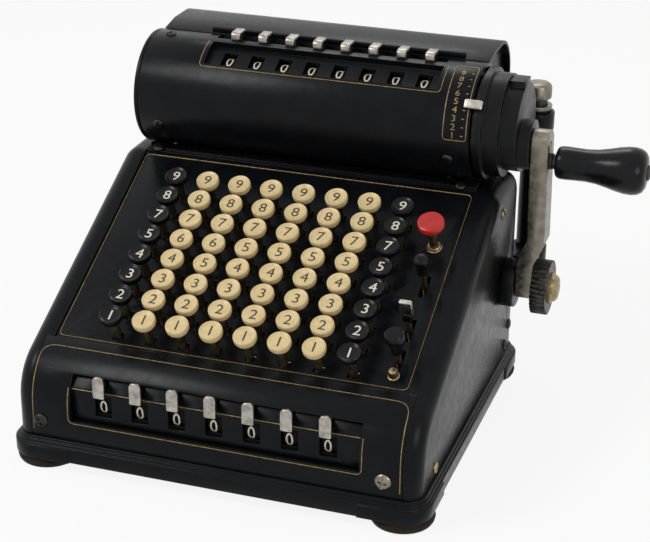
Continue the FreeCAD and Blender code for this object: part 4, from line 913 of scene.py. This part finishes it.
    def screw(self) -> Piece:
        """Model one domed screw head with its cross slot.

        Returns:
            The screw head, its underside at the origin.
        """
        head = turned("screw_model", ((-0.6, 0.0), (-0.6, 3.1), (0.35, 3.1), (0.8, 2.8),
                                      (1.2, 2.0), (1.35, 0.0)), 28)
        for low, high in (((-4, -0.42, 0.6), (4, 0.42, 3)), ((-0.42, -1.7, 0.6), (0.42, 1.7, 3))):
            tool = block("slot_cutter", low, high)
            pick(head)
            cut = head.modifiers.new("slot", "BOOLEAN")
            cut.operation = "DIFFERENCE"
            cut.solver = "EXACT"
            cut.object = tool
            bpy.ops.object.modifier_apply(modifier=cut.name)
            bpy.data.objects.remove(tool)
        return smooth(head, SHARP_ANGLE)

    def screws(self) -> None:
        """Set the screws of the front, the right cheek, the ledge and the housing."""
        model = self.screw()
        # Each screw has a place, the turn of its cross in degrees and a metal
        spots = []
        for x, factor, turn, finish in ((-98.6, 1.35, 35, STEEL), (93.8, 1.45, 80, ARM_NICKEL)):
            place = (moved(x, -self.front, self.front_screw_z)
                     @ Matrix.Rotation(math.radians(90), 4, "X") @ Matrix.Scale(factor, 4))
            spots.append((place, turn, finish))
        for y, z, turn, finish in ((-73, 24, 60, BRASS), (80, 24, 15, STEEL),
                                   (88, 34, 100, STEEL), (58, 116, 40, BRASS)):
            place = moved(self.cheek, y, z) @ Matrix.Rotation(math.radians(90), 4, "Y")
            spots.append((place, turn, finish))
        for x, turn in ((-92.5, 20), (90.3, 70)):
            spots.append((on_panel(x, self.ledge_up, 1.5), turn, STEEL))
        for x, angle, turn in ((-90, 84, 30), (-88, -23.6, 75), (84.4, -23.4, 10)):
            place = (moved(x, DRUM_Y, DRUM_Z) @ Matrix.Rotation(math.radians(90 - angle), 4, "X")
                     @ moved(0, 0, DRUM_RADIUS - 0.2))
            spots.append((place, turn, STEEL))
        screws = []
        for place, turn, finish in spots:
            twin = copied(model, "screw_copy", place @ Matrix.Rotation(math.radians(turn), 4, "Z"))
            screws.append(paint(twin, finish))
        bpy.data.objects.remove(model)
        self.frame.finished(joined("screws", screws), "chassis", "brass", "casing_screws")


@dataclass
class KeyField:
    """Eight columns of eight turned keys with their figures."""

    frame: Frame
    pitch_across: float = 19.0
    pitch_up: float = 14.65
    left: float = -65.0
    first_row: float = 3.24
    top: float = 18.15
    figure_height: float = 6.2
    sides: int = 30
    figures: tuple[str, ...] = ("12345789", "12346789", "12356789") + ("12345789",) * 5

    def model(self, name: str, cap: Resin) -> Piece:
        """Turn one key with its stem.

        Args:
            name: Name of the key.
            cap: Finish of the cap.

        Returns:
            The key, standing at the origin of the panel.
        """
        profile = ((-11.0, 0.0), (-11.0, 2.3), (12.0, 2.3), (12.2, 3.1), (13.2, 3.1), (13.25, 3.9),
                   (13.9, 4.9), (14.8, 5.8), (15.8, 6.3), (17.9, 6.4), (18.6, 6.25), (18.9, 5.9),
                   (18.8, 5.55), (18.4, 5.15), (18.2, 4.3), (18.15, 0.0))
        key = paint(turned(name, profile, self.sides), cap)
        return paint_where(key, BRASS, lambda spot: spot.z < 13.22)

    def build(self) -> None:
        """Set the keys and figures of each column and join them."""
        signs = {sign: digit(f"figure_{sign}", sign, self.figure_height, 1.05)
                 for sign in "123456789"}
        models = {True: self.model("black_model", BLACK), False: self.model("ivory_model", CREAM)}
        for column, figures in enumerate(self.figures):
            black = column in (0, 7)
            pieces = []
            for row, sign in enumerate(figures):
                x, y = self.left + self.pitch_across * column, self.first_row + self.pitch_up * row
                pieces.append(copied(models[black], "key", on_panel(x, y)))
                mark = copied(signs[sign], "mark", on_panel(x, y, self.top + 0.02))
                pieces.append(paint(mark, WHITE if black else DARK))
            node = f"key_column_{column + 1}"
            self.frame.stand_in(node, pieces, node, "black_key" if black else "cream_key")
        for piece in [*signs.values(), *models.values()]:
            bpy.data.objects.remove(piece)


@dataclass
class Controls:
    """Red clearing button, three rocking levers, a bush and a stud beside the keys."""

    frame: Frame
    lever_x: float = 89.0
    depth: float = 14.0
    tab_up: float = 36.6
    button: tuple[float, float] = (87, 94.6)

    def build(self) -> None:
        """Build the button, the levers and their brass."""
        profile = ((-11.5, 0.0), (-11.5, 2.5), (15.4, 2.5), (15.5, 3.4), (16.1, 3.6), (16.3, 5.2),
                   (17.2, 6.7), (18.2, 7.3), (20.6, 7.4), (21.5, 7.1), (22.0, 6.2), (22.0, 5.0),
                   (21.9, 0.0))
        button = paint(turned("button", profile, 48, place=on_panel(*self.button)), RED)
        paint_where(button, BRASS, lambda spot: self.height(spot) < 15.6)
        self.frame.stand_in("red_button", [button], "red_button", "red_key")
        self.lever("shift_lever", 67.0, BLACK, "nickel",
                   ((11.0, 0.0), (11.0, 2.5), (11.8, 3.1), (13.6, 3.3), (15.6, 2.9), (17.6, 3.4),
                    (20.0, 4.0), (22.4, 3.9), (23.5, 3.1), (24.0, 1.8), (24.1, 0.0)))
        self.lever("clear_lever", 15.5, BLACK, "black_key",
                   ((8.6, 0.0), (8.6, 3.0), (9.6, 3.3), (12.0, 2.8), (15.2, 2.7), (16.2, 3.6),
                    (17.2, 5.0), (18.6, 5.5), (21.6, 5.6), (23.2, 5.2), (24.0, 4.2), (24.2, 0.0)))
        self.tab()
        self.brasses()

    def height(self, spot: Vector) -> float:
        """Return how far a point in millimetres stands out of the key panel."""
        slope = math.radians(SLOPE)
        return (spot.z - PANEL_Z) * math.cos(slope) - (spot.y - PANEL_Y) * math.sin(slope)

    def stem(self, up: float, top: float) -> Piece:
        """Make the round stem and the hub of a lever.

        Args:
            up: Place of the lever up the slope.
            top: Height at which the stem ends.

        Returns:
            The stem in brass.
        """
        stem = turned("stem", ((-self.depth, 0.0), (-self.depth, 1.7), (top, 1.7), (top, 0.0)), 16,
                      place=on_panel(self.lever_x, up))
        hub = turned("hub", ((-2.0, 0.0), (-2.0, 3.6), (2.0, 3.6), (2.0, 0.0)), 20, Axis.X,
                     on_panel(self.lever_x, up, -self.depth))
        return paint(joined("stem", [stem, hub]), BRASS)

    def lever(self, node: str, up: float, finish: Resin, slot: str,
              profile: Outline) -> None:
        """Build a rocking lever with a turned knob.

        Args:
            node: The solid that it stands for, and its body.
            up: Place of the lever up the slope.
            finish: Finish of the knob.
            slot: The slot of its finish.
            profile: The knob's profile above the panel.
        """
        knob = paint(turned("knob", profile, 32, place=on_panel(self.lever_x, up)), finish)
        self.frame.stand_in(node, [knob, self.stem(up, 12)], node, slot)

    def tab(self) -> None:
        """Build the lever with the flat nickel tab."""
        tab = block("tab", (-3.5, -1.4, 14.0), (3.5, 1.4, 24.0))
        foot = block("tab_foot", (-2.4, -1.6, 8.0), (2.4, 1.6, 14.6))
        pieces = []
        for piece, finish in ((tab, NICKEL), (foot, STEEL)):
            rounded(piece, 0.8, 3)
            piece.data.transform(on_panel(self.lever_x, self.tab_up))
            pieces.append(paint(piece, finish))
        pieces.append(self.stem(self.tab_up, 9))
        self.frame.stand_in("tab_lever", pieces, "tab_lever", "nickel")

    def brasses(self) -> None:
        """Turn the button's bush and the small stud in front."""
        bush = turned("bush", ((0.0, 2.7), (0.0, 4.4), (0.7, 4.4), (1.0, 3.9), (2.0, 3.7), (2.4, 3.3),
                               (2.4, 2.7), (0.0, 2.7)), 32, place=on_panel(*self.button))
        stud = turned("stud", ((0.0, 0.0), (0.0, 3.2), (1.2, 3.2), (1.4, 2.6), (4.6, 2.5), (5.6, 2.1),
                               (6.0, 1.0), (6.0, 0.0)), 32, place=on_panel(self.lever_x, 5.4))
        self.frame.stand_in("lever_bushes", [paint(bush, BRASS), paint(stud, BRASS)], "chassis",
                            "brass")


@dataclass
class Register:
    """A row of number wheels, each with a setting tab."""

    frame: Frame
    prefix: str
    count: int
    first: float
    pitch: float
    axis_y: float
    axis_z: float
    radius: float
    width: float
    facing: float
    figure_height: float
    figure_width: float
    figure_shift: float

    def wheel(self) -> Piece:
        """Turn one wheel and wrap five figures round it, of which a window shows only one.

        Returns:
            The wheel at the middle of the row's X.
        """
        half = self.width / 2
        rim = self.radius
        bore = 2.7
        wheel = turned("wheel", ((-half, bore), (-half, rim - 0.5), (0.4 - half, rim),
                                 (half - 0.4, rim), (half, rim - 0.5), (half, bore),
                                 (-half, bore)), 60, Axis.X)
        pieces = [paint(wheel, WHEEL_BLACK)]
        for step, number in enumerate("02468"):
            sign = wrapped(digit("number", number, self.figure_height, self.figure_width),
                           (self.figure_shift, 0, 0), rim + 0.04, self.facing + 72 * step)
            pieces.append(paint(sign, WHITE))
        wheel = joined("wheel", pieces)
        wheel.data.transform(moved(0, self.axis_y, self.axis_z))
        return wheel

    def tab(self) -> Piece:
        """Shape the nickel tab of a front wheel with its arm."""
        plate = prism("tab", ((-3.3, 48.6), (-2.7, 48.0), (2.7, 48.0), (3.3, 48.6), (3.3, 58.2),
                              (2.7, 59.7), (1.6, 60.4), (0, 60.5), (-1.6, 60.4), (-2.7, 59.7),
                              (-3.3, 58.2)), -103.6, 2.2, Axis.Y)
        arm = prism("arm", ((-86.5, 48.6), (-101.4, 59.0), (-101.4, 55.0), (-92.5, 42.4)),
                    -1.5, 3.0, Axis.X)
        return joined("tab", [paint(rounded(plate, 0.7, 3), NICKEL),
                              paint(rounded(arm, 0.3, 1), STEEL)])

    def build(self) -> None:
        """Set a wheel and a tab for each place of the row."""
        model = joined("lever_model", [self.wheel(), self.tab()])
        for place in range(self.count):
            node = f"{self.prefix}_{place + 1}"
            piece = copied(model, f"{node}_finished", moved(self.first + self.pitch * place, 0, 0))
            self.frame.finished(piece, node, "nickel", node)
        bpy.data.objects.remove(model)


@dataclass
class ResultRegister(Register):
    """The wheels under the housing's windows with hooked tabs on top."""

    def tab(self) -> Piece:
        """Shape the hooked nickel tab with its arm."""
        plate = prism("tab", ((67.4, 197.0), (69.0, 197.0), (69.6, 199.4), (77.6, 199.4),
                              (77.6, 201.2), (76.8, 201.6), (68.8, 201.6), (67.4, 200.4)),
                      -2.7, 5.4, Axis.X)
        arm = prism("arm", ((66.6, 183.9), (68.2, 178.6), (76.9, 189.2), (76.9, 199.6),
                            (74.3, 199.6), (74.3, 190.0)), -1.3, 2.6, Axis.X)
        return joined("tab", [paint(rounded(plate, 0.6, 3), NICKEL),
                              paint(rounded(arm, 0.3, 1), STEEL)])


@dataclass
class Hub:
    """Stepped casting, its slider on the scale and the bearing of the crank."""

    frame: Frame
    slider_turn: float = 34.0

    def build(self) -> None:
        """Dress the castings and shape the slider."""
        for node, segments in (("hub_casting", 3), ("crank_bearing", 3), ("column_brackets", 2)):
            self.frame.softened(node, "chassis", CASTING, "casing", 0.8, segments)
        place = (moved(97.55, DRUM_Y, DRUM_Z)
                 @ Matrix.Rotation(math.radians(90 - self.slider_turn), 4, "X"))
        ring = turned("ring", ((-0.7, 26.0), (-0.7, 28.8), (0.7, 28.8), (0.7, 26.0),
                               (-0.7, 26.0)), 72, Axis.X)
        pointer = block("pointer", (-5.2, -2.6, 33.5), (5.2, 2.6, 36.1))
        neck = block("neck", (-0.7, -2.4, 28.0), (0.7, 2.4, 34.0))
        pieces = [paint(ring, STEEL), paint(rounded(pointer, 0.9, 3), NICKEL),
                  paint(rounded(neck, 0.2, 1), STEEL)]
        slider = joined("setting_slider_finished", pieces)
        slider.data.transform(place)
        self.frame.finished(slider, "setting_slider", "nickel", "setting_slider")


@dataclass
class Crank:
    """Nickel arm, knurled nut, brass cap, spindle and turned grip."""

    frame: Frame
    pivot_y: float = 71.0
    pivot_z: float = 69.0
    grip_y: float = 64.35
    grip_z: float = 148.22
    arm_face: float = 137.3
    nut_face: float = 140.5
    grip_gap: float = 3.4

    def build(self) -> None:
        """Dress the arm and nut and turn the other pieces."""
        self.frame.softened("crank_arm", "crank", ARM_NICKEL, "nickel", 1.1, 3)
        self.frame.softened("knurled_nut", "crank", STEEL, "dark_steel", 0.25, 1)
        cap = turned("cap", ((0.0, 0.0), (0.0, 9.0), (1.2, 9.0), (1.5, 8.0), (3.2, 7.6), (4.4, 6.2),
                             (5.0, 3.4), (5.0, 0.0)), 40, Axis.X,
                     moved(self.nut_face, self.pivot_y, self.pivot_z))
        self.frame.stand_in("hub_cap", [paint(cap, BRASS)], "crank", "brass")
        spindle = turned("spindle", ((0.0, 0.0), (0.0, 4.6), (1.4, 4.6), (1.9, 4.1), (3.2, 4.1),
                                     (3.2, 3.0), (54.0, 3.0), (54.0, 4.4), (54.8, 4.2), (55.4, 3.0),
                                     (55.4, 0.0)), 32, Axis.X,
                         moved(self.arm_face, self.grip_y, self.grip_z))
        self.frame.stand_in("handle_spindle", [paint(spindle, STEEL)], "crank", "brass")
        self.grip()

    def grip(self) -> None:
        """Turn the waisted grip."""
        profile = ((0.0, 3.1), (0.0, 6.6), (0.5, 7.9), (1.4, 8.7), (3.0, 9.2), (6.0, 9.3),
                   (11.0, 9.1), (17.0, 9.0), (23.0, 9.6), (29.0, 10.9), (34.0, 12.2), (39.0, 13.1),
                   (43.0, 13.2), (46.0, 12.6), (48.4, 11.2), (49.8, 9.0), (50.4, 6.2), (50.6, 4.6),
                   (50.6, 3.1), (0.0, 3.1))
        grip = turned("grip", profile, 56, Axis.X,
                      moved(self.arm_face + self.grip_gap, self.grip_y, self.grip_z))
        self.frame.stand_in("handle_grip", [paint(grip, BLACK)], "grip", "black_key")


@dataclass
class Column:
    """Upright tube behind the crank with its push cap."""

    frame: Frame
    x: float = 116.5
    y: float = 122.0

    def build(self) -> None:
        """Turn the tube and the cap."""
        place = moved(self.x, self.y, 0)
        tube = turned("tube", ((60.0, 6.1), (60.0, 7.6), (60.6, 8.0), (158.8, 8.0), (159.0, 8.5),
                               (160.6, 8.6), (161.0, 8.3), (161.0, 6.1), (60.0, 6.1)), 40,
                      place=place)
        paint_where(paint(tube, CASTING), ARM_NICKEL, lambda spot: spot.z > 158.9)
        self.frame.stand_in("column_tube", [tube], "chassis", "nickel")
        cap = turned("cap", ((139.0, 0.0), (139.0, 5.8), (165.0, 5.8), (165.0, 7.6), (165.6, 8.0),
                             (171.2, 8.0), (172.8, 7.4), (173.8, 6.0), (174.0, 4.0), (174.0, 0.0)),
                     40, place=place)
        paint_where(paint(cap, ARM_NICKEL), STEEL, lambda spot: spot.z < 165.0)
        self.frame.stand_in("column_cap", [cap], "column_cap", "nickel")


@dataclass
class Works:
    """Inner pieces, of which only glimpses show through windows, slots and the open base."""

    frame: Frame

    def build(self) -> None:
        """Give every inner solid its metal."""
        for node in ("bottom_plate", "side_frames", "register_rods", "crank_shaft", "rotor_shaft"):
            self.frame.coloured(node, STEEL)
        for node in ("idler_gear", "pinwheel_discs"):
            self.frame.coloured(node, BRASS)


@dataclass
class Studio:
    """Pale floor, soft lights, white surroundings and the camera."""

    eye: Point = (315.3, -859.3, 495.7)
    azimuth: float = 18.49
    elevation: float = 24.0
    roll: float = 0.5
    lens: float = 99.51
    aim: Point = (20, 0, 90)
    floor_white: float = 0.88
    ambient: float = 0.42

    def build(self) -> None:
        """Set up everything round the machine."""
        self.camera()
        self.floor()
        self.lamp("key_light", (-620, -520, 900), 420, 5.8)
        self.lamp("fill_light", (760, -520, 420), 380, 1.8)
        self.lamp("back_light", (-150, 760, 900), 380, 1.8)
        self.world()

    def camera(self) -> None:
        """Place the camera where the photograph was taken from."""
        azimuth, elevation = math.radians(self.azimuth), math.radians(self.elevation)
        back = Vector((math.sin(azimuth) * math.cos(elevation),
                       -math.cos(azimuth) * math.cos(elevation), math.sin(elevation)))
        right = Vector((math.cos(azimuth), math.sin(azimuth), 0))
        up = back.cross(right)
        lean = math.radians(self.roll)
        across = right * math.cos(lean) + up * math.sin(lean)
        upward = up * math.cos(lean) - right * math.sin(lean)
        clear_selection()
        bpy.ops.object.camera_add()
        camera = bpy.context.object
        camera.name = "camera"
        turn = Matrix((across, upward, back)).transposed().to_4x4()
        camera.matrix_world = moved(*self.eye) @ turn
        camera.data.lens = self.lens
        camera.data.sensor_width = 36
        camera.data.clip_end = 50
        bpy.context.scene.camera = camera

    def floor(self) -> None:
        """Lay the pale floor, which the camera sees nearly white apart from the shadow."""
        clear_selection()
        bpy.ops.mesh.primitive_plane_add(size=12)
        floor = bpy.context.object
        floor.name = "floor"
        material, tree, shader, _ = blank("pale_floor")
        feed(tree, shader, {"Base Color": to_linear("#e8e8e6"), "Roughness": 0.9,
                            "Specular IOR Level": 0.0})
        white = add_node(tree, "ShaderNodeEmission", {"Color": (1, 1, 1, 1), "Strength": 1.0})
        share = add_node(tree, "ShaderNodeMath", {0: self.seen(tree), 1: self.floor_white},
                         operation="MULTIPLY")
        mix = add_node(tree, "ShaderNodeMixShader", {0: share.outputs[0], 1: shader.outputs[0],
                                                     2: white.outputs[0]})
        tree.links.new(mix.outputs[0], tree.nodes["Material Output"].inputs["Surface"])
        floor.data.materials.append(material)

    def seen(self, tree: Tree) -> Socket:
        """Tell the rays that reach the eye from those that light the machine.

        Args:
            tree: The tree that gets the nodes.

        Returns:
            1 for rays of the camera, of reflections and of glass.
        """
        rays = add_node(tree, "ShaderNodeLightPath").outputs
        first = add_node(tree, "ShaderNodeMath", {0: rays["Is Camera Ray"], 1: rays["Is Glossy Ray"]},
                         operation="MAXIMUM").outputs[0]
        return add_node(tree, "ShaderNodeMath", {0: first, 1: rays["Is Transmission Ray"]},
                        operation="MAXIMUM").outputs[0]

    def lamp(self, name: str, spot: Point, side: float, power: float) -> None:
        """Hang a soft square lamp that faces the machine.

        Args:
            name: Name of the lamp.
            spot: Its place in millimetres.
            side: Its side in millimetres.
            power: Its power in watts.
        """
        clear_selection()
        bpy.ops.object.light_add(type="AREA")
        lamp = bpy.context.object
        lamp.name = name
        aim = Vector(spot) - Vector(self.aim)
        lamp.matrix_world = moved(*spot) @ aim.to_track_quat("Z", "Y").to_matrix().to_4x4()
        lamp.data.size = side * MM
        lamp.data.energy = power

    def world(self) -> None:
        """Make the surroundings white to the eye and a plain grey to the machine."""
        world = bpy.data.worlds.new("surroundings")
        bpy.context.scene.world = world
        world.use_nodes = True
        tree = world.node_tree
        ambient = tree.nodes["Background"]
        feed(tree, ambient, {"Color": (1, 1, 1, 1), "Strength": self.ambient})
        white = add_node(tree, "ShaderNodeBackground", {"Color": (1, 1, 1, 1), "Strength": 1.0})
        mix = add_node(tree, "ShaderNodeMixShader", {0: self.seen(tree), 1: ambient.outputs[0],
                                                     2: white.outputs[0]})
        tree.links.new(mix.outputs[0], tree.nodes["World Output"].inputs["Surface"])
        bpy.context.scene.view_settings.view_transform = "Standard"


def main() -> None:
    """Build the whole scene in order."""
    logging.basicConfig(level=logging.INFO, format="%(message)s")
    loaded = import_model()
    frame = Frame(loaded["nodes"])
    front = Register(frame, "entry_lever", count=7, first=-62.8, pitch=21.0, axis_y=-84.5,
                     axis_z=40.4, radius=11.0, width=9.0, facing=-7.0, figure_height=7.6,
                     figure_width=0.85, figure_shift=-0.9)
    result = ResultRegister(frame, "result_lever", count=8, first=-50.1, pitch=16.5, axis_y=62.83,
                            axis_z=179.36, radius=7.45, width=8.0, facing=70.0, figure_height=7.4,
                            figure_width=0.85, figure_shift=-0.5)
    for part in (Casing(frame), KeyField(frame), Controls(frame), front, result, Hub(frame),
                 Crank(frame), Column(frame), Works(frame), Studio()):
        part.build()
        LOG.info("%s built", type(part).__name__)


if __name__ == "__main__":
    main()
